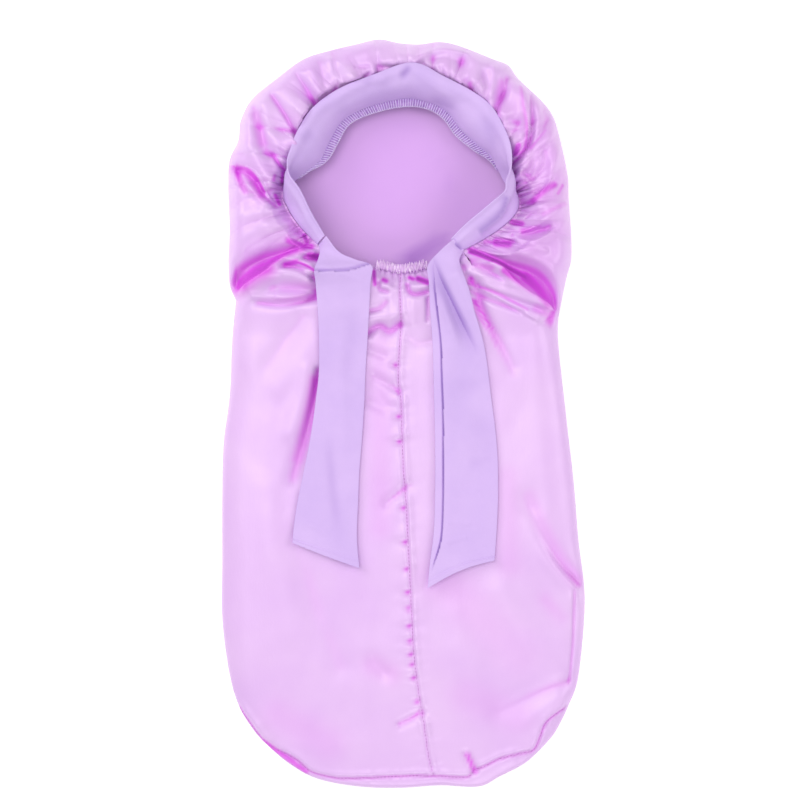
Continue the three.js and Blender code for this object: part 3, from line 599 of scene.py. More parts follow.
HOOD_COLUMNS, HOOD_ROWS, HOOD_DENSE = 700, 68, 0.35
SLEEVE_COLUMNS, SLEEVE_ROWS, SLEEVE_DENSE = 160, 150, 0.25
BACK_COLUMNS, BACK_ROWS, BACK_DENSE = 40, 70, 0.2
ROLL_ROWS = 5
FLOOR_GAP = 0.15
# Small pleats below the nape's elastic: how many, how far down they reach, and from which x to which
NAPE_PLEATS, NAPE_DROP, NAPE_FROM, NAPE_TO = 26, 14, -28, 24


def hood_patch(u, v):
    points = mix(along(band_line, u)[:, :2], along(hood_edge, u), spaced(v, HOOD_DENSE)[:, None])
    return np.column_stack([points, satin_front(points, u)])


def nape_patch(u, v):
    u, v = columns(u), spaced(v, HOOD_DENSE)
    points = mix(along(nape_line, u)[:, :2], along(waist, 1 - u), v[:, None])
    drop = np.hypot(*(points - along(nape_line, u)[:, :2]).T)
    swell = noises(12 * u, 3.5, 1.5)
    pleat = 2 * np.abs(np.sin(math.pi * (NAPE_PLEATS * u + GATHER_DRIFT * swell))) - 1.2
    drawn = pleat * (1 + swell) * within(drop, 0, NAPE_DROP, 1.5, 12)
    drawn = drawn * within(points[:, 0], NAPE_FROM, NAPE_TO, 4)
    return np.column_stack([points, satin_front(points) + drawn])


def coons(u, v, top, foot, right, left):
    """Points of a patch between four lines: top and right run from its first corner."""
    across, down = u[:, None], v[:, None]
    edges = mix(along(right, v), along(left, v), across) + mix(along(top, u), along(foot, u), down)
    corners = mix(mix(top[0], top[-1], across), mix(foot[0], foot[-1], across), down)
    return edges - corners


def sleeve_patch(u, v):
    down = spaced(v, SLEEVE_DENSE)
    points = coons(columns(u), down, waist[::-1], end_edge, right_edge, left_edge[::-1])
    return np.column_stack([points, satin_front(points)])


def outward(line):
    """Unit normals in plan that point out of the clockwise outline."""
    run = np.roll(line, -2, 0) - np.roll(line, 2, 0)
    normal = np.column_stack([-run[:, 1], run[:, 0]])
    return normal / np.hypot(*normal.T)[:, None]


def roll_patch(u, v):
    """The outline rolled under, down to the points of the back's own edge."""
    rim, out = along(ring, u), along(ring_out, u)
    turn = np.minimum(v * ROLL_ROWS / (ROLL_ROWS - 1), 1) * math.pi / 2
    back = EDGE_RADIUS * (1 - np.cos(turn))
    down = EDGE_RADIUS * (1 - np.sin(turn)) + FLOOR_GAP * v
    points = np.column_stack([rim - out * back[:, None], down])
    last = np.nonzero(v > 0.999)[0]
    away = np.linalg.norm(points[last, None] - back_rim[None], axis=2)
    points[last] = back_rim[away.argmin(1)]
    return points


def back_patch(u, v):
    """The flat back, just inside the roll, with the slack of cloth that lies on a table."""
    points = coons(spaced(u, BACK_DENSE), v, back_top[::-1], back_foot, back_right, back_left[::-1])
    slack = 0.9 + 0.7 * clouds(points, 40, 3.5, (1.5, 0.9)) + 0.4 * clouds(points, 17, 6.5, (1.5, 0.9))
    edge = nearest(outline, points)[0]
    return np.column_stack([points, FLOOR_GAP + np.maximum(slack, 0) * smooth((edge - 9) / 12)])


# The outline's points, where the patches of the front meet it, and the way outwards at each
sleeve_shares = spaced(np.linspace(0, 1, SLEEVE_ROWS + 1), SLEEVE_DENSE)
rim_parts = [
    (hood_edge, np.linspace(0, 1, HOOD_COLUMNS + 1)),
    (right_edge, sleeve_shares),
    (end_edge, columns(np.linspace(0, 1, SLEEVE_COLUMNS + 1))),
    (left_edge, 1 - sleeve_shares[::-1]),
]
rim_points = np.vstack([along(line, shares)[:-1] for line, shares in rim_parts])
ring = np.vstack([rim_points, rim_points[:1]])
smooth_out = outward(outline[:-1])
rim_index = nearest(outline, ring)[1]
ring_out = along(np.vstack([smooth_out, smooth_out[:1]]), rim_index)
OUTWARD_ROUNDS = 6
for _ in range(OUTWARD_ROUNDS):
    ring_out[:-1] = (np.roll(ring_out[:-1], 1, 0) + ring_out[:-1] + np.roll(ring_out[:-1], -1, 0)) / 3
ring_out[-1] = ring_out[0]
ring_out /= np.hypot(*ring_out.T)[:, None]

# The back's two top corners lie this share of the hood's edge above the waist
BACK_INSET, BACK_CORNER = EDGE_RADIUS + 3, 0.22
inner = ring - BACK_INSET * ring_out
corner = np.cumsum([0, HOOD_COLUMNS, SLEEVE_ROWS, SLEEVE_COLUMNS])
quarter = round(HOOD_COLUMNS * BACK_CORNER)
back_top = inner[quarter:HOOD_COLUMNS - quarter + 1]
back_right = inner[HOOD_COLUMNS - quarter:corner[2] + 1]
back_foot = inner[corner[2]:corner[3] + 1]
back_left = np.vstack([inner[corner[3]:-1], inner[:quarter + 1]])

# Points nearer than this, in metres, are one point of the cloth, and of a tube or thread
SHEET_MERGE, TUBE_MERGE = 0.00003, 0.00001
bag = bmesh.new()
lay_patch(bag, BACK_COLUMNS, BACK_ROWS, back_patch)
back_rim = np.array([vert.co for vert in bag.verts if vert.is_boundary]) / MM
lay_patch(bag, len(ring) - 1, ROLL_ROWS, roll_patch)
gather_place = bag.verts.layers.float.new("gather_place")
in_hood = bag.faces.layers.int.new("in_hood")
hood_verts, hood_uv, hood_faces = lay_patch(bag, HOOD_COLUMNS, HOOD_ROWS, hood_patch)
for vert, u in zip(hood_verts, hood_uv[:, 0]):
    vert[gather_place] = u
for face in hood_faces:
    face[in_hood] = 1
lay_patch(bag, SLEEVE_COLUMNS, HOOD_ROWS, nape_patch)
lay_patch(bag, SLEEVE_COLUMNS, SLEEVE_ROWS, sleeve_patch)
bmesh.ops.remove_doubles(bag, verts=bag.verts, dist=SHEET_MERGE)
bmesh.ops.recalc_face_normals(bag, faces=bag.faces)
highest = max(bag.faces, key=lambda face: face.calc_center_median().z)
if highest.normal.z < 0:
    bmesh.ops.reverse_faces(bag, faces=bag.faces)
satin_tree = BVHTree.FromBMesh(bag)


def write_values(bm, name, values):
    """Keeps a number at each point for the materials, such as how much painted crease shade it takes."""
    layer = bm.verts.layers.float.new(name)
    for vert, value in zip(bm.verts, values):
        vert[layer] = value


# How sharply a shade ends at its sides
SHADE_POWER = 2.4


def shaded(points, table):
    """How much painted crease shade a table of lines gives at each place in plan."""
    shade = np.zeros(len(points))
    for left, right, share0, share1, rows in table:
        distance, share, side = nearest(raised_curve(rows), points)
        fall = bell(distance, np.where(side > 0, left, right), SHADE_POWER)
        shade = np.maximum(shade, mix(share0, share1, share) * fall)
    return shade


# Rounds of smoothing that give the cloth around a fine and a broad crease, the depths below it at which
# the painted shade of a crease starts and is full, and how much of that painted shade it then has
CREASE_STEPS = (70, 400)
CREASE_START, CREASE_DEPTH, CREASE_SHADE = 0.8, 9, 0.8
# How much painted shade a dimple has, with its half widths, and a seam's groove, with its half width
DIMPLE_SHADE, DIMPLE_SHADE_WIDTHS = 0.9, (2.6, 1.6, 1.8)
GROOVE_SHADES = [(centre_seam, 0.25, 0.8), (end_seam, 0.6, 1.1)]
# How far the long and the fine wrinkles reach out from the band's seam
PULL_REACH, KNOT_REACH = 50, 17
# Where fine wrinkles are drawn together: place along the seam, half width, share. Elsewhere LOOSE_SHARE.
KNOTS = [(0.03, 0.025, 0.8), (0.14, 0.022, 0.7), (0.81, 0.06, 0.8), (0.93, 0.04, 0.5)]
LOOSE_SHARE = 0.15
# Painted shade on the cloth inside, as in the shades above
BACK_SHADES = [
    (7, 11, 0.25, 0.3, [(22, 213), (30, 205), (37, 193), (42, 181)]),
    (55, 55, 0.3, 0.3, [(-10, 200), (4, 176)]),
    (20, 20, 0.25, 0.25, [(-50, 215), (-25, 232), (10, 236)]),
    (9, 9, 0.6, 0.9, [(30, 142), (18, 133), (5, 126)]),
]


def mark_creases(bm):
    """Writes each point's painted crease shade and painted inside shade, and its places for the wrinkles.
    """
    bm.verts.index_update()
    place = np.array([vert.co for vert in bm.verts]) / MM
    points, front = place[:, :2], place[:, 2] > EDGE_RADIUS
    height, edge = form(points)[:2]
    relief = np.where(front, place[:, 2] - height, 0)
    links = np.array([[vert.index for vert in edge.verts] for edge in bm.edges])
    links = np.vstack([links, links[:, ::-1]])
    count = np.bincount(links[:, 0], minlength=len(relief))
    level, deep = relief.copy(), 0
    for step in range(1, CREASE_STEPS[1] + 1):
        level = (level + np.bincount(links[:, 0], level[links[:, 1]], len(relief))) / (count + 1)
        if step in CREASE_STEPS:
            deep = deep + np.maximum(level - relief, 0)
    shade = shaded(points, SHADES)
    for spot in dimples:
        shade = np.maximum(shade, DIMPLE_SHADE * dimple(points, spot, *DIMPLE_SHADE_WIDTHS))
    for seam, most, wide in GROOVE_SHADES:
        shade = np.maximum(shade, most * bell(nearest(seam, points)[0], wide))
    # Painted shade also where the cloth lies below its smoothed level
    shade = np.maximum(CREASE_SHADE * smooth((deep - CREASE_START) / CREASE_DEPTH), shade)
    write_values(bm, "crease", shade * front)
    write_values(bm, "inside", shaded(points, BACK_SHADES) * ~front)
    places = np.array([vert[gather_place] for vert in bm.verts])
    reach = nearest(band_line, points)[0]
    ends = within(places, 0, 1, 0.02, 0.04) * smooth(edge / 4)
    knots = LOOSE_SHARE + sum(share * bell(places - at, wide) for at, wide, share in KNOTS)
    write_values(bm, "gather_reach", reach)
    write_values(bm, "gather_pull", ends * front * bell(reach, PULL_REACH))
    write_values(bm, "gather_knots", ends * front * knots * bell(reach, KNOT_REACH))


mark_creases(bag)
# The hood's gathered part becomes a piece of its own, so that each piece stays under 200,000 triangles
hood = bag.copy()
for part, kept in ((hood, 1), (bag, 0)):
    mark = part.faces.layers.int["in_hood"]
    bmesh.ops.delete(part, geom=[face for face in part.faces if face[mark] != kept], context="FACES")
    for edge in part.edges:
        edge.smooth = not edge.is_boundary


def finished(bm, name, *materials):
    """An object at the origin from a bmesh whose points are already in place."""
    mesh = bpy.data.meshes.new(name)
    bm.to_mesh(mesh)
    bm.free()
    piece = bpy.data.objects.new(name, mesh)
    bpy.context.scene.collection.objects.link(piece)
    for material in materials:
        mesh.materials.append(material)
    return piece


# Length of the band's seam in millimetres, for the wrinkles, and how narrow the line between two is
BAND_RUN, LINE_SHARPNESS = 560, 7


class Finish:
    """A cloth or thread material: its shader, and nodes that are added to it in a chain."""

    def __init__(self, name, **numbers):
        self.material = bpy.data.materials.new(name)
        self.material.use_nodes = True
        self.nodes, self.links = self.material.node_tree.nodes, self.material.node_tree.links
        self.shader = next(node for node in self.nodes if node.type == "BSDF_PRINCIPLED")
        for socket, value in numbers.items():
            self.shader.inputs[socket.replace("_", " ")].default_value = value
        self.place = self.nodes.new("ShaderNodeTexCoord").outputs["Object"]
        self.normal = None

    def node(self, kind, **feeds):
        """A node of this kind, with a number or another node's output on each input that is named."""
        node = self.nodes.new("ShaderNode" + kind)
        for name, value in feeds.items():
            if isinstance(value, bpy.types.NodeSocket):
                self.links.new(value, node.inputs[name])
            else:
                node.inputs[name].default_value = value
        return node

    def lumps(self, scale, detail=2, stretch=(1, 1, 1), place=None):
        """Noise of this scale to a metre, from 0 to 1."""
        mapped = self.node("Mapping", Vector=place or self.place, Scale=stretch).outputs["Vector"]
        return self.node("TexNoise", Vector=mapped, Scale=scale, Detail=detail).outputs["Fac"]

    def reckon(self, operation, first, second):
        """A sum on two factors, of which the second may be a plain number."""
        node = self.nodes.new("ShaderNodeMath")
        node.operation = operation
        self.links.new(first, node.inputs[0])
        if isinstance(second, (int, float)):
            node.inputs[1].default_value = second
        else:
            self.links.new(second, node.inputs[1])
        return node.outputs["Value"]

    def wrinkles(self, wide, long, pull):
        """Sharp lines between rounded wrinkles that run out from the seam, 1 on a line, times the pull."""
        place = self.node(
            "CombineXYZ", X=self.attribute("gather_place"), Y=self.attribute("gather_reach"))
        noise_value = self.lumps(1, 1, (BAND_RUN / wide, 1 / long, 1), place.outputs["Vector"])
        off = self.reckon("ABSOLUTE", self.reckon("SUBTRACT", noise_value, 0.5), 0)
        line = self.reckon("ADD", self.reckon("MULTIPLY", off, -LINE_SHARPNESS), 1)
        return self.reckon("MULTIPLY", self.reckon("MAXIMUM", line, 0), pull)

    def bump(self, height, distance, strength=1.0):
        """Fine relief of this height in metres, over the relief that is already there."""
        node = self.node("Bump", Height=height, Distance=distance, Strength=strength)
        if self.normal:
            self.links.new(self.normal, node.inputs["Normal"])
        self.normal = node.outputs["Normal"]
        self.links.new(self.normal, self.shader.inputs["Normal"])

    def mottle(self, socket, scale, detail, *stops):
        """Noise from one value or colour to another, with the noise's level at each, fed to a socket."""
        node = self.node("ValToRGB", Fac=self.lumps(scale, detail))
        for element, (place, value) in zip(node.color_ramp.elements, stops):
            element.position = place
            element.color = (*value, 1) if isinstance(value, tuple) else (value, value, value, 1)
        self.links.new(node.outputs["Color"], self.shader.inputs[socket])

    def attribute(self, name):
        """The values that write_values kept under this name."""
        node = self.nodes.new("ShaderNodeAttribute")
        node.attribute_name = name
        return node.outputs["Fac"]

    def tint(self, factor, colour):
        """Turns the base colour towards this one by a factor."""
        node = self.nodes.new("ShaderNodeMix")
        node.data_type = "RGBA"
        base = self.shader.inputs["Base Color"]
        self.links.new(factor, node.inputs["Factor"])
        self.links.new(base.links[0].from_socket, node.inputs["A"])
        node.inputs["B"].default_value = (*colour, 1)
        self.links.new(node.outputs["Result"], base)


# Glossy pale pink lilac, with painted shade that turns it magenta in creases, dark violet in the deepest,
# and darker along the wrinkles. Its relief is the slubs of the weave, soft waves and the wrinkles.
satin = Finish("satin", Specular_IOR_Level=0.8, IOR=1.5, Specular_Tint=(1, 0.86, 1, 1))
satin.mottle("Base Color", 16, 3, (0.3, (0.69, 0.435, 0.80)), (0.7, (0.74, 0.495, 0.82)))
fine_wrinkles = satin.wrinkles(9, 22, satin.attribute("gather_knots"))
long_wrinkles = satin.wrinkles(26, 110, satin.attribute("gather_pull"))
# Painted shade: magenta where the crease share is up to 1, dark violet beyond it
satin.tint(satin.attribute("crease"), (0.68, 0.08, 0.72))
satin.tint(satin.reckon("SUBTRACT", satin.attribute("crease"), 1.0), (0.20, 0.01, 0.26))
# Painted shade along the lines between the wrinkles
satin.tint(satin.reckon("MULTIPLY", long_wrinkles, 0.25), (0.62, 0.18, 0.76))
satin.tint(satin.reckon("MULTIPLY", fine_wrinkles, 0.7), (0.50, 0.05, 0.56))
satin.mottle("Roughness", 60, 2, (0.3, 0.33), (0.7, 0.42))
satin.bump(satin.lumps(700, 2, (1, 0.25, 1)), 0.00012, 0.5)
satin.bump(satin.lumps(120, 2, (1, 0.4, 1)), 0.0004, 0.3)
satin.bump(satin.reckon("MULTIPLY", fine_wrinkles, -1.0), 0.0010)
satin.bump(satin.reckon("MULTIPLY", long_wrinkles, -1.0), 0.0022)

# The duller wrong side, which is seen through the face opening
wrong_side = Finish("satin_wrong_side", Roughness=0.75, Specular_IOR_Level=0.15)
wrong_side.mottle("Base Color", 9, 3, (0.3, (0.72, 0.43, 0.85)), (0.7, (0.79, 0.48, 0.88)))
# Painted shade inside the bag, from BACK_SHADES
wrong_side.tint(wrong_side.attribute("inside"), (0.46, 0.21, 0.66))
wrong_side.bump(wrong_side.lumps(700, 2, (1, 0.25, 1)), 0.00012, 0.4)

# The cloth's thickness in metres
SATIN_THICKNESS = 0.00035
satin_bag = finished(bag, "satin_bag_cloth", satin.material, wrong_side.material)
satin_hood = finished(hood, "satin_hood_cloth", satin.material, wrong_side.material)
for piece in (satin_bag, satin_hood):
    wall = piece.modifiers.new("cloth", "SOLIDIFY")
    wall.thickness = SATIN_THICKNESS
    wall.offset = -1
    wall.material_offset = 1
    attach(piece, "root")
    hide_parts("satin_bag")

# Face band
# A strip of matt stretch cloth, folded in two lengthwise, with both raw edges oversewn to the gathered
# satin. At the crown it leans out over the gathers, and beside the cheeks it twists upright.
BAND_THICKNESS = 2.4
BAND_STATIONS, BAND_AROUND = 420, 44
# Where the band twists upright its middle bulges outwards, as far as its two edges lie over each other
TWIST_BULGE, TWIST_LEAN = 6, 9
# Folds in the band: width and rise on the line's left side, the same on its right, then the line in plan
BAND_FOLDS = [
    (3, -1.7, 3, -1.7, [(6, 275), (2, 269), (-4, 263)]),
    (7, 1.8, 3, 1.8, [(9, 276), (13, 266), (22, 260), (36, 253), (54, 246)]),
    (4, -0.9, 9, -0.9, [(18, 250), (30, 245), (44, 238)]),
    (12, -0.8, 10, -0.8, [(-46, 250), (-24, 255), (-4, 258)]),
    (3, 1.4, 3, 1.4, [(60, 248), (66, 240), (64, 228)]),
    (6, -0.9, 5, -0.9, [(62, 238), (68, 222), (74, 204)]),
    (5, 1.3, 5, 1.3, [(-59, 239), (-41, 261)]),
    (5, -0.8, 5, -0.8, [(-31, 255), (-25, 269)]),
    (4, 1.2, 4, 1.2, [(-15, 257), (-19, 271)]),
    (5, -0.7, 5, -0.7, [(-68, 222), (-82, 214)]),
    (2, -1.4, 4, -2, [(82, 172), (78, 159), (69, 150), (59, 142)]),
    (4, 0.9, 4, 0.9, [(-90, 172), (-78, 150)]),
    (3, -2.5, 3, -2.5, [(38, 137), (42, 132), (47, 127)]),
]


def folded_section(turn, half):
    """Share across and height of a flattened tube, for a turn from 0 to 1 round its section."""
    angle = 2 * math.pi * turn
    across = 0.5 - 0.5 * np.cos(angle)
    swell = np.abs(np.sin(angle)) ** 0.5 * np.sign(np.sin(angle))
    return across, half * swell


def inward_to(middle, points):
    """Unit directions in plan from the points to a middle."""
    inward = np.array(middle) - points
    return inward / np.hypot(*inward.T)[:, None]


def arch(seam, tip, bow, inward, across):
    """Points across the band: steep beside the seam, then level towards the free edge by its bow."""
    lean = tip - seam
    crest = seam + lean * mix(0.5, 0.16, bow / 7)[:, None]
    crest[:, 2] = seam[:, 2] + lean[:, 2] * mix(0.5, 0.98, bow / 7)
    bulge = TWIST_BULGE * bell(np.hypot(*lean[:, :2].T), TWIST_LEAN)
    crest[:, :2] -= 2 * inward * bulge[:, None]
    share = across[:, None]
    return seam * (1 - share) ** 2 + 2 * crest * share * (1 - share) + tip * share ** 2


# Folds fade in and out over this share of their length, crisp ones narrower than CRISP_WIDTH sooner
CRISP_WIDTH, CRISP_FADE, SOFT_FADE = 2.5, 0.1, 0.4
# A crease this deep has its full shade, but less of it where it is wider than SHARP_WIDTH
FULL_SHADE_DEPTH, SHARP_WIDTH = 3, 4


def pressed(points, table):
    """Height and shade that a table of folds gives at each place in plan."""
    height, shade = np.zeros(len(points)), np.zeros(len(points))
    for left, left_rise, right, right_rise, rows in table:
        near, distance, share, side = close_by(curve(rows), points, max(left, right))
        width, rise = np.where(side > 0, left, right), np.where(side > 0, left_rise, right_rise)
        fade = CRISP_FADE if min(left, right) < CRISP_WIDTH else SOFT_FADE
        fall = within(share, -0.01, 1.01, fade) * bell(distance, width)
        height[near] += rise * fall
        deep = np.clip(-rise / FULL_SHADE_DEPTH / np.maximum(1, width / SHARP_WIDTH), 0, 1)
        shade[near] = np.maximum(shade[near], deep * fall)
    return height, shade


# The middle of the face opening, and how far the band's foot lies inside and above the seam
FACE_MIDDLE, FOOT_INWARD, FOOT_UP = (-3.0, 185.0), 0.9, 1.3
# Tension in the doubled cloth: rise of the long and the short ripples, then rise, place across and half
# width of the roll beside the free edge and of the hollow next to it
LONG_RIPPLES, SHORT_RIPPLES = 1.0, 0.5
EDGE_ROLL, EDGE_HOLLOW = (1.1, 0.88, 0.09), (0.5, 0.68, 0.1)


def band_shape(u, v):
    """u runs along the band, v round its section, first along the face that looks at the opening."""
    at = along(band_line, u)
    seam, tip = at[:, :3].copy(), at[:, 4:7]
    inward = inward_to(FACE_MIDDLE, seam[:, :2])
    seam[:, :2] += FOOT_INWARD * inward
    seam[:, 2] += FOOT_UP
    across, swell = folded_section(v, BAND_THICKNESS / 2)
    later, sooner = along(band_line, u + 0.004), along(band_line, u - 0.004)
    run = later[:, :3] + later[:, 4:7] - sooner[:, :3] - sooner[:, 4:7]
    middle = arch(seam, tip, at[:, 7], inward, across)
    rise = arch(seam, tip, at[:, 7], inward, np.minimum(across + 0.02, 1))
    side = unit(np.cross(run, rise - arch(seam, tip, at[:, 7], inward, across - 0.02)))
    tension = LONG_RIPPLES * noises(u * 22, 1.7 * across, 0.7)
    tension += SHORT_RIPPLES * noises(u * 70, 1.2 * across, 3.7) * across
    hollow = EDGE_HOLLOW[0] * bell(across - EDGE_HOLLOW[1], EDGE_HOLLOW[2])
    tension += EDGE_ROLL[0] * bell(across - EDGE_ROLL[1], EDGE_ROLL[2]) - hollow
    tension += pressed(middle[:, :2], BAND_FOLDS)[0]
    raised = swell + tension * np.sin(math.pi * np.clip(across, 0, 1)) ** 0.5
    return middle + side * raised[:, None]


# The flange of raw edges inside the band's foot: its two ends, size, mesh, the middle that it points to,
# how far it starts inside and above the seam, and how far it droops at its edge
FLANGE_ENDS = [(-86, 187), (78, 194)]
FLANGE_WIDTH, FLANGE_THICKNESS = 6.4, 0.9
FLANGE_STATIONS, FLANGE_AROUND = 300, 12
FLANGE_MIDDLE, FLANGE_INWARD, FLANGE_UP, FLANGE_DROOP = (-3.0, 192.0), 0.4, 2.4, 1.6
first_share, last_share = nearest(band_line, np.array(FLANGE_ENDS, float))[1]


def flange_place(u, across, lift):
    """A place on the flange: u along it, across from the seam to its edge, lift above its middle."""
    at = along(band_line, mix(first_share, last_share, u))[:, :3]
    swing = noises(9.0 * u, 2.5, 0.5)
    wide = FLANGE_WIDTH * (1 + 0.25 * swing) * mix(0.3, 1, within(u, 0, 1, 0.16, 0.1))
    at[:, :2] += inward_to(FLANGE_MIDDLE, at[:, :2]) * (FLANGE_INWARD + wide * across)[:, None]
    droop = FLANGE_DROOP * across ** 2 - 0.9 * swing * across
    at[:, 2] += FLANGE_UP - droop + lift
    return at


def flange_shape(u, v):
    """The flange as a flattened tube."""
    across, swell = folded_section(v, FLANGE_THICKNESS / 2)
    return flange_place(u, across, swell)


band = bmesh.new()
lay_patch(band, BAND_STATIONS, BAND_AROUND, band_shape)
for face in lay_patch(band, FLANGE_STATIONS, FLANGE_AROUND, flange_shape)[2]:
    face.material_index = 1
bmesh.ops.remove_doubles(band, verts=band.verts, dist=TUBE_MERGE)


def close_ends(bm):
    """Fills the open ends of a tube, with a crisp edge round each."""
    ends = [edge for edge in bm.edges if edge.is_boundary]
    for edge in ends:
        edge.smooth = False
    bmesh.ops.holes_fill(bm, edges=ends, sides=0)
    bmesh.ops.recalc_face_normals(bm, faces=bm.faces)


def shade_folds(bm, table):
    """Writes the painted shade of a table of folds as each point's crease."""
    write_values(bm, "crease", pressed(np.array([vert.co[:2] for vert in bm.verts]) / MM, table)[1])


close_ends(band)
shade_folds(band, BAND_FOLDS)
# Matt lavender knit with a fine grain, and painted shade in the folds of the band and the ties
stretch = Finish("stretch_cloth", Roughness=0.85, Sheen_Weight=0.15, Sheen_Roughness=0.5,
                 Specular_IOR_Level=0.2)
stretch.shader.inputs["Sheen Tint"].default_value = (0.9, 0.8, 1, 1)
stretch.mottle("Base Color", 30, 3, (0.3, (0.60, 0.425, 0.79)), (0.7, (0.65, 0.465, 0.82)))
# Painted shade in the folds of the band and the ties
stretch.tint(stretch.attribute("crease"), (0.30, 0.17, 0.52))
stretch.bump(stretch.lumps(1500, 2), 0.0002, 0.5)
stretch.bump(stretch.lumps(220, 3), 0.0006, 0.3)

# Fuzzy raw edges under the sewing, in their own darker colour deepened by painted shade
raw_edges = Finish("raw_edges", Roughness=0.9, Specular_IOR_Level=0.1)
raw_edges.mottle("Base Color", 300, 3, (0.35, (0.36, 0.20, 0.54)), (0.75, (0.58, 0.36, 0.74)))
raw_edges.bump(raw_edges.lumps(2500, 2), 0.0003, 0.8)

face_band = finished(band, "face_band_cloth", stretch.material, raw_edges.material)
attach(face_band, "root")
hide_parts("face_band")

# Band thread
# Overlock thread of soft polyester yarn. It goes over the flange at the band's foot in close slanting
# bars and chains along the flange's raw edge.
STITCH_PITCH, THREAD_RADIUS = 2.1, 0.34


def lay_thread(bm, path, radius, sides=5):
    """A thread along a path of points in millimetres, drawn in to a point at both ends."""
    steps = len(path) - 1

    def shape(u, v):
        i = np.rint(u * steps).astype(int)
        run = path[np.minimum(i + 1, steps)] - path[np.maximum(i - 1, 0)]
        side = unit(np.cross(run, (0.01, 0.02, 1.0)))
        up = unit(np.cross(side, run))
        thick = radius * np.where((i == 0) | (i == steps), 0.02, 1.0)
        turn = 2 * math.pi * v
        return path[i] + (side * np.cos(turn)[:, None] + up * np.sin(turn)[:, None]) * thick[:, None]

    lay_patch(bm, steps, sides, shape)


# A bar of thread over the flange: places across it and heights above its middle
BAR_ACROSS = np.array([-0.04, 0.15, 0.5, 0.85, 1.04, 1.02])
BAR_HEIGHT = np.array([0.1, 0.75, 0.8, 0.75, 0.1, -0.6])
BAR_SLANT = 0.45
flange_run = run_of(flange_place(np.linspace(0, 1, 400), np.zeros(400), 0))
stitches = round(flange_run / STITCH_PITCH)
sewing = bmesh.new()
for number in range(stitches):
    start = (number + 0.3 + 0.2 * noise.noise((number * 0.8, 0, 0))) / (stitches + 1)
    slant = BAR_SLANT / stitches
    bar = flange_place(start + slant * np.arange(6) / 5, BAR_ACROSS, BAR_HEIGHT)
    lay_thread(sewing, bar, THREAD_RADIUS)
chain = np.linspace(0.004, 0.996, 4 * stitches)
loop = np.arange(len(chain)) * math.pi / 2
chain_path = flange_place(chain, 1.02 + 0.07 * np.sin(loop), 0.15 + 0.3 * np.cos(loop))
lay_thread(sewing, chain_path, THREAD_RADIUS)
bmesh.ops.remove_doubles(sewing, verts=sewing.verts, dist=TUBE_MERGE)
bmesh.ops.recalc_face_normals(sewing, faces=sewing.faces)
thread = Finish("sewing_thread", Roughness=0.5, Sheen_Weight=0.3)
thread.mottle("Base Color", 400, 2, (0.3, (0.66, 0.52, 0.86)), (0.7, (0.78, 0.66, 0.93)))
thread.bump(thread.lumps(4000, 1), 0.00005, 0.5)
band_thread = finished(sewing, "band_thread", thread.material)
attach(band_thread, "root")

# Ties
# The band's two free ends, the same folded strip laid flat down the sleeve and cut on a slant. The left
# one turns over a crisp fold below the nape, and the right one has a narrow pleat along its left side.
TIE_THICKNESS = 1.7
TIE_LIFT = 0.4
# left x, y, rise, right x, y, rise
LEFT_TIE = [
    (-67.3, 133.8, 0, -60.8, 140.4, 5), (-66, 128, 1, -51, 128, 3), (-67.5, 121, 2, -38, 122, 2),
    (-70, 113, 3, -25, 117, 2), (-69, 101, 1, -26, 103, 1), (-67, 67, 0, -28, 67, 0),
    (-67, 35, 0, -30, 35, 0), (-69, 15, 0.5, -31, 11, 0), (-73.5, -17, 1, -33, -21, 0),
    (-79, -45, 0.5, -35, -45, 0), (-84, -69, 0, -36, -69, 0), (-87, -89, 0, -37, -97, 0),
    (-88, -102, 0, -35, -122, 0),
]
RIGHT_TIE = [
    (39.3, 138, 5, 47.9, 129.6, 0), (28, 128, 3, 44, 121, 1), (19, 117, 3, 48, 108, 2),
    (20, 103, 2, 52, 97, 2), (21, 83, 1, 56, 81, 1), (23, 55, 1, 64, 53, 0), (24, 19, 1, 69, 17, 0),
    (25, -21, 1, 74, -25, 0), (25, -61, 1, 75, -61, 0), (24, -93, 1, 74, -89, 0),
    (21, -117, 0.5, 73, -105, 0), (19, -138, 0, 72, -116, 0),
]
# Folds in the ties: width and rise on the line's left side, the same on its right, then the line in plan
TIE_FOLDS = [
    (2.2, -1.5, 9, 1.3, [(-76, 112), (-59, 112), (-43, 113), (-33, 116), (-22, 120)]),
    (4, -0.6, 4, -0.6, [(-60, -10), (-56, -60), (-50, -105)]),
    (5, 0.6, 5, 0.6, [(-50, 75), (-48, 10), (-46, -50)]),
    (6, -0.5, 6, -0.5, [(-38, 90), (-44, 40), (-52, 20)]),
    (3, 0.7, 3, 0.7, [(-86, -84), (-66, -92), (-48, -108)]),
    (12, 1.4, 0.9, -3, [(24, 121), (24, 111), (27, 83), (30, 59), (31, 27), (32, -5), (32, -37), (32, -69),
                        (31, -93), (29, -105), (25, -117), (22, -125)]),
    (3, -3.2, 7, -2.8, [(19, 132), (25, 117), (30, 104), (36, 92), (44, 76), (52, 60), (60, 43)]),
    (4, 2.2, 4, 2.2, [(26, 108), (32, 85), (38, 68), (46, 44)]),
    (5, 2.4, 5, 2.4, [(38, 122), (45, 104), (53, 86), (60, 66), (66, 40)]),
    (9, -0.5, 9, -0.5, [(44, 8), (60, -8), (66, -22), (58, -44)]),
    (5, -0.3, 5, -0.3, [(75, -33), (60, -38), (48, -36)]),
    (2, 0.5, 2, 0.5, [(34, -85), (54, -87)]),
    (2, 0.5, 2, 0.5, [(33, -102), (51, -97)]),
    (6, -0.3, 6, -0.3, [(38, 30), (50, 22), (66, 26)]),
]
TIE_COLUMNS, TIE_ROWS = 36, 190
TIE_MESH = (192, 280)
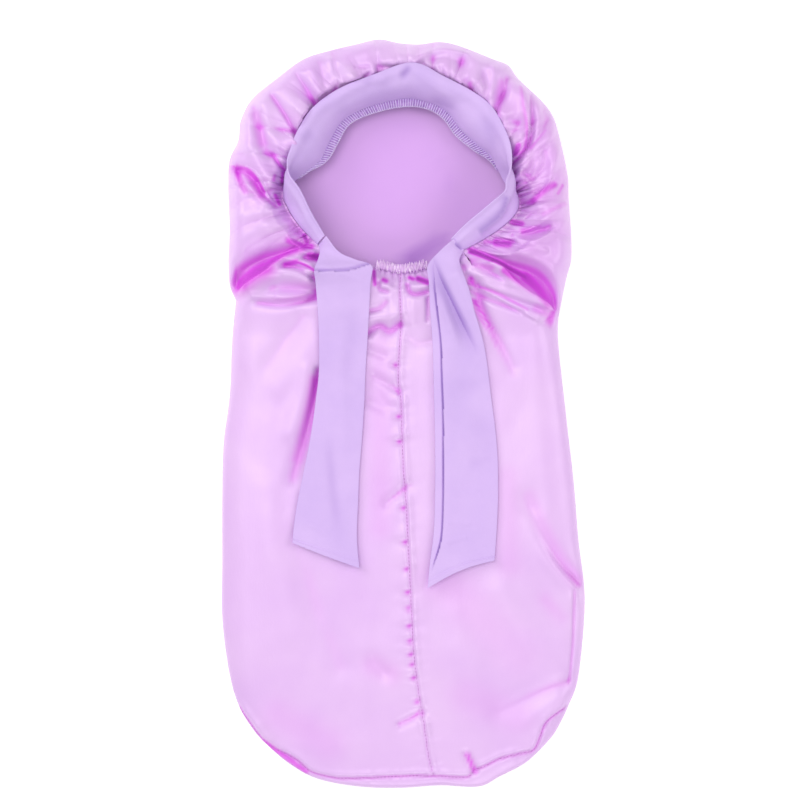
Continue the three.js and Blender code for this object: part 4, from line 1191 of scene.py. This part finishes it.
# The tie settles from this height onto the satin in so many rounds, sagging this much in each
START_HEIGHT, SETTLE_ROUNDS, SAG = 20, 400, 0.004
# Room under the middle for creases, and how far the cut end lifts
FOLD_ROOM, END_LIFT = 1.5, 1.8
# The row of sewing beside the cut end: depth, place along the tie and half width
HEM = (0.9, 0.982, 0.004)


def satin_under(points):
    """The finished satin's height below each point, in millimetres."""
    down = Vector((0, 0, -1))
    found = [satin_tree.ray_cast(Vector((x * MM, y * MM, 0.2)), down)[0] for x, y in points]
    return np.array([hit.z / MM if hit else 0.0 for hit in found])


def tie_grid(rows, ends):
    """The laid tie's middle surface: rows of points from the band's end, at these heights, downwards."""
    middle = [((lx + rx) / 2, (ly + ry) / 2, lx, ly, lr, rx, ry, rr) for lx, ly, lr, rx, ry, rr in rows]
    at = along(curve(middle), np.linspace(0, 1, TIE_ROWS + 1))
    u = np.linspace(0, 1, TIE_COLUMNS + 1)
    left, right = at[:, None, 2:4], at[:, None, 5:7]
    flat = mix(left, right, u[None, :, None])
    floor = satin_under(flat.reshape(-1, 2)).reshape(flat.shape[:2]) + TIE_LIFT + TIE_THICKNESS / 2
    height = np.maximum(floor, START_HEIGHT)
    held = mix(ends[0], ends[1], u)
    for _ in range(SETTLE_ROUNDS):
        height[0] = held
        spread = np.pad(height, 1, mode="edge")
        spread = (spread[2:, 1:-1] + spread[:-2, 1:-1] + spread[1:-1, 2:] + spread[1:-1, :-2]) / 4
        height = np.maximum(spread - SAG, floor)
    height[0] = held
    lift = mix(at[:, None, 4], at[:, None, 7], u[None, :])
    place = np.linspace(0, 1, TIE_ROWS + 1)[:, None]
    return np.dstack([flat, height + lift * smooth(place / 0.02)])


def make_tie(name, rows, ends, curl):
    """A tie from its rows. curl is how far the middle of its cut end lies behind the two corners."""
    grid = tie_grid(rows, ends)

    def shape(u, v):
        across, swell = folded_section(u, TIE_THICKNESS / 2)
        row, column = v * TIE_ROWS, across * TIE_COLUMNS
        i = np.minimum(row.astype(int), TIE_ROWS - 1)
        j = np.minimum(column.astype(int), TIE_COLUMNS - 1)
        s, t = (row - i)[:, None], (column - j)[:, None]
        place = mix(mix(grid[i, j], grid[i + 1, j], s), mix(grid[i, j + 1], grid[i + 1, j + 1], s), t)
        place[:, 1] += curl * np.sin(math.pi * across) * smooth((v - 0.85) / 0.15)
        soft = 0.35 * clouds(place[:, :2], 16, 9.5, (1, 2)) + 0.16 * clouds(place[:, :2], 6, 2.5)
        folded = np.maximum(pressed(place[:, :2], TIE_FOLDS)[0], -FOLD_ROOM)
        place[:, 2] += (FOLD_ROOM + folded + soft) * smooth(v / 0.05)
        place[:, 2] += END_LIFT * smooth((v - 0.94) / 0.06) - HEM[0] * bell(v - HEM[1], HEM[2])
        place[:, 2] += swell * (1 - 0.5 * smooth((v - 0.99) / 0.01))
        return place

    tie = bmesh.new()
    lay_patch(tie, *TIE_MESH, shape)
    bmesh.ops.remove_doubles(tie, verts=tie.verts, dist=TUBE_MERGE)
    close_ends(tie)
    shade_folds(tie, TIE_FOLDS)
    piece = finished(tie, name + "_cloth", stretch.material)
    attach(piece, "root")
    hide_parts(name)


make_tie("tie_left", LEFT_TIE, (27, 34), -0.5)
make_tie("tie_right", RIGHT_TIE, (34, 27), 3.2)

# Nape elastic
# A short narrow elastic in the satin's top edge between the two ties. It draws the satin into a small
# ribbed roll, which is oversewn.
ELASTIC_FROM, ELASTIC_TO = -22, 18
ELASTIC_WIDTH, ELASTIC_HEIGHT = 6, 4.2
ELASTIC_RIBS, RIB_RISE = 15, 0.16
ELASTIC_STATIONS, ELASTIC_AROUND = 180, 20
# How far its middle lies inside and above the satin's edge
ELASTIC_INWARD, ELASTIC_UP = 1.6, 1.2


def nape_at(x):
    """The nape's edge at these places from side to side."""
    return along(nape_line, np.interp(-x, -nape_line[:, 0], np.linspace(0, 1, len(nape_line))))


def elastic_shape(u, v):
    x = mix(ELASTIC_FROM, ELASTIC_TO, u)
    at = nape_at(x)
    angle = 2 * math.pi * v
    rib = RIB_RISE * np.abs(np.sin(math.pi * ELASTIC_RIBS * u))
    rib = 1 + rib * within(u, 0, 1, 0.05)
    close = np.sqrt(np.clip(1 - (2 * u - 1) ** 16, 0.02, 1))
    y = at[:, 1] + ELASTIC_INWARD + ELASTIC_WIDTH / 2 * np.cos(angle) * rib * close
    z = at[:, 2] - ELASTIC_HEIGHT / 2 * np.sin(angle) * rib * close
    return np.column_stack([x, y, z + ELASTIC_UP])


roll = bmesh.new()
lay_patch(roll, ELASTIC_STATIONS, ELASTIC_AROUND, elastic_shape)
bmesh.ops.remove_doubles(roll, verts=roll.verts, dist=TUBE_MERGE)
close_ends(roll)
nape_elastic = finished(roll, "nape_elastic_roll", satin.material)
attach(nape_elastic, "root")
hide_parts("nape_elastic")

# Nape thread
# Oversewing of soft pale pink polyester yarn over the shirred elastic. Its stitches are uneven and lean
# both ways, as the elastic draws them together.
NAPE_STITCHES, NAPE_REACH, NAPE_CLEAR = 36, 3.9, 0.7
nape_sewing = bmesh.new()
for number in range(NAPE_STITCHES):
    wander = noises(number * 1.7, np.arange(4) * 5.3, 0.5)
    share = (number + 0.5 + 0.5 * wander[0]) / NAPE_STITCHES
    x = mix(ELASTIC_FROM + 0.5, ELASTIC_TO + 1.5, share)
    at = nape_at(np.array([x]))[0]
    turn = mix(0.0, math.pi, np.linspace(0, 1, 7))
    reach = NAPE_REACH * (1 + 0.35 * wander[1])
    path = np.column_stack([
        x + 3.2 * wander[2] * np.cos(turn),
        at[1] + ELASTIC_INWARD + reach * np.cos(turn) + 1.4 * wander[3],
        at[2] + ELASTIC_UP + (ELASTIC_HEIGHT / 2 + NAPE_CLEAR) * np.sin(turn) ** 0.7,
    ])
    lay_thread(nape_sewing, path, THREAD_RADIUS)
bmesh.ops.recalc_face_normals(nape_sewing, faces=nape_sewing.faces)
pale_thread = Finish("pale_thread", Roughness=0.5, Sheen_Weight=0.3)
pale_thread.mottle("Base Color", 300, 2, (0.35, (0.78, 0.50, 0.86)), (0.65, (0.93, 0.76, 0.96)))
nape_thread = finished(nape_sewing, "nape_thread", pale_thread.material)
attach(nape_thread, "root")

# Seam thread
# Small even lockstitches of polyester yarn, which close the satin down the front and round the end. They
# are pulled into the cloth, so only the tops of the stitches show.
STITCH_LENGTH, STITCH_GAP, SEAM_THREAD_RADIUS = 2.8, 0.05, 0.2
# A stitch's heights over the satin from end to end
STITCH_RISE = [-0.1, 0.1, 0.1, -0.1]
seam_sewing = bmesh.new()
for seam_line in (centre_seam, end_seam):
    count = round(run_of(seam_line) / (STITCH_LENGTH + STITCH_GAP))
    steps = np.linspace(0, STITCH_LENGTH / (STITCH_LENGTH + STITCH_GAP), 4)
    shares = (np.arange(count)[:, None] + steps) / count
    flat = along(seam_line, shares.ravel())
    height = satin_under(flat) + np.tile(STITCH_RISE, count)
    for path in np.column_stack([flat, height]).reshape(count, 4, 3):
        lay_thread(seam_sewing, path, SEAM_THREAD_RADIUS, 4)
bmesh.ops.recalc_face_normals(seam_sewing, faces=seam_sewing.faces)
seam_yarn = Finish("seam_thread", Roughness=0.6)
# Its darker colour is the yarn's own and also painted shadow of the seam's line
seam_yarn.mottle("Base Color", 300, 2, (0.3, (0.42, 0.20, 0.47)), (0.7, (0.54, 0.28, 0.58)))
seam_thread = finished(seam_sewing, "seam_thread", seam_yarn.material)
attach(seam_thread, "root")

# Floor, light and camera
# A plain white table under one broad soft light overhead, three weaker ones at the sides and the foot,
# and a dim white surround. The camera looks straight down. These lengths are in metres.
FLOOR_HALF = 3
SURROUND_STRENGTH = 0.45
CAMERA_PLACE, SENSOR_WIDTH, LENS = (-0.0028, 0.0112, 1.8), 36, 101
floor_mesh = bmesh.new()
bmesh.ops.create_grid(floor_mesh, x_segments=1, y_segments=1, size=FLOOR_HALF)
table_top = Finish("table_top", Base_Color=(0.92, 0.92, 0.92, 1), Roughness=0.9, Specular_IOR_Level=0.0,
                   Emission_Color=(1, 1, 1, 1), Emission_Strength=0.3)
floor = finished(floor_mesh, "floor", table_top.material)

world = bpy.data.worlds.new("studio")
bpy.context.scene.world = world
world.use_nodes = True
surround = world.node_tree.nodes["Background"]
surround.inputs["Color"].default_value = (1, 1, 1, 1)
surround.inputs["Strength"].default_value = SURROUND_STRENGTH

# Name, size, energy and place of each lamp, all of them aimed at the bonnet
LAMPS = [
    ("overhead", 1.5, 16.8, (-0.45, 0.35, 1.95)),
    ("left", 0.8, 7.5, (-1.2, 0.8, 0.9)),
    ("right", 0.8, 4.5, (1.1, 0.2, 0.9)),
    ("foot", 0.8, 5, (0.2, -1.2, 0.9)),
]
for lamp_name, lamp_size, energy, place in LAMPS:
    lamp_data = bpy.data.lights.new(lamp_name, "AREA")
    lamp_data.shape = "DISK"
    lamp_data.size = lamp_size
    lamp_data.energy = energy
    lamp = bpy.data.objects.new(lamp_name, lamp_data)
    lamp.location = place
    lamp.rotation_euler = (-lamp.location).to_track_quat("-Z", "Y").to_euler()
    bpy.context.scene.collection.objects.link(lamp)

camera_data = bpy.data.cameras.new("camera")
camera_data.sensor_width = SENSOR_WIDTH
camera_data.lens = LENS
camera = bpy.data.objects.new("camera", camera_data)
camera.location = CAMERA_PLACE
bpy.context.scene.collection.objects.link(camera)
bpy.context.scene.camera = camera
bpy.context.scene.view_settings.view_transform = "Standard"
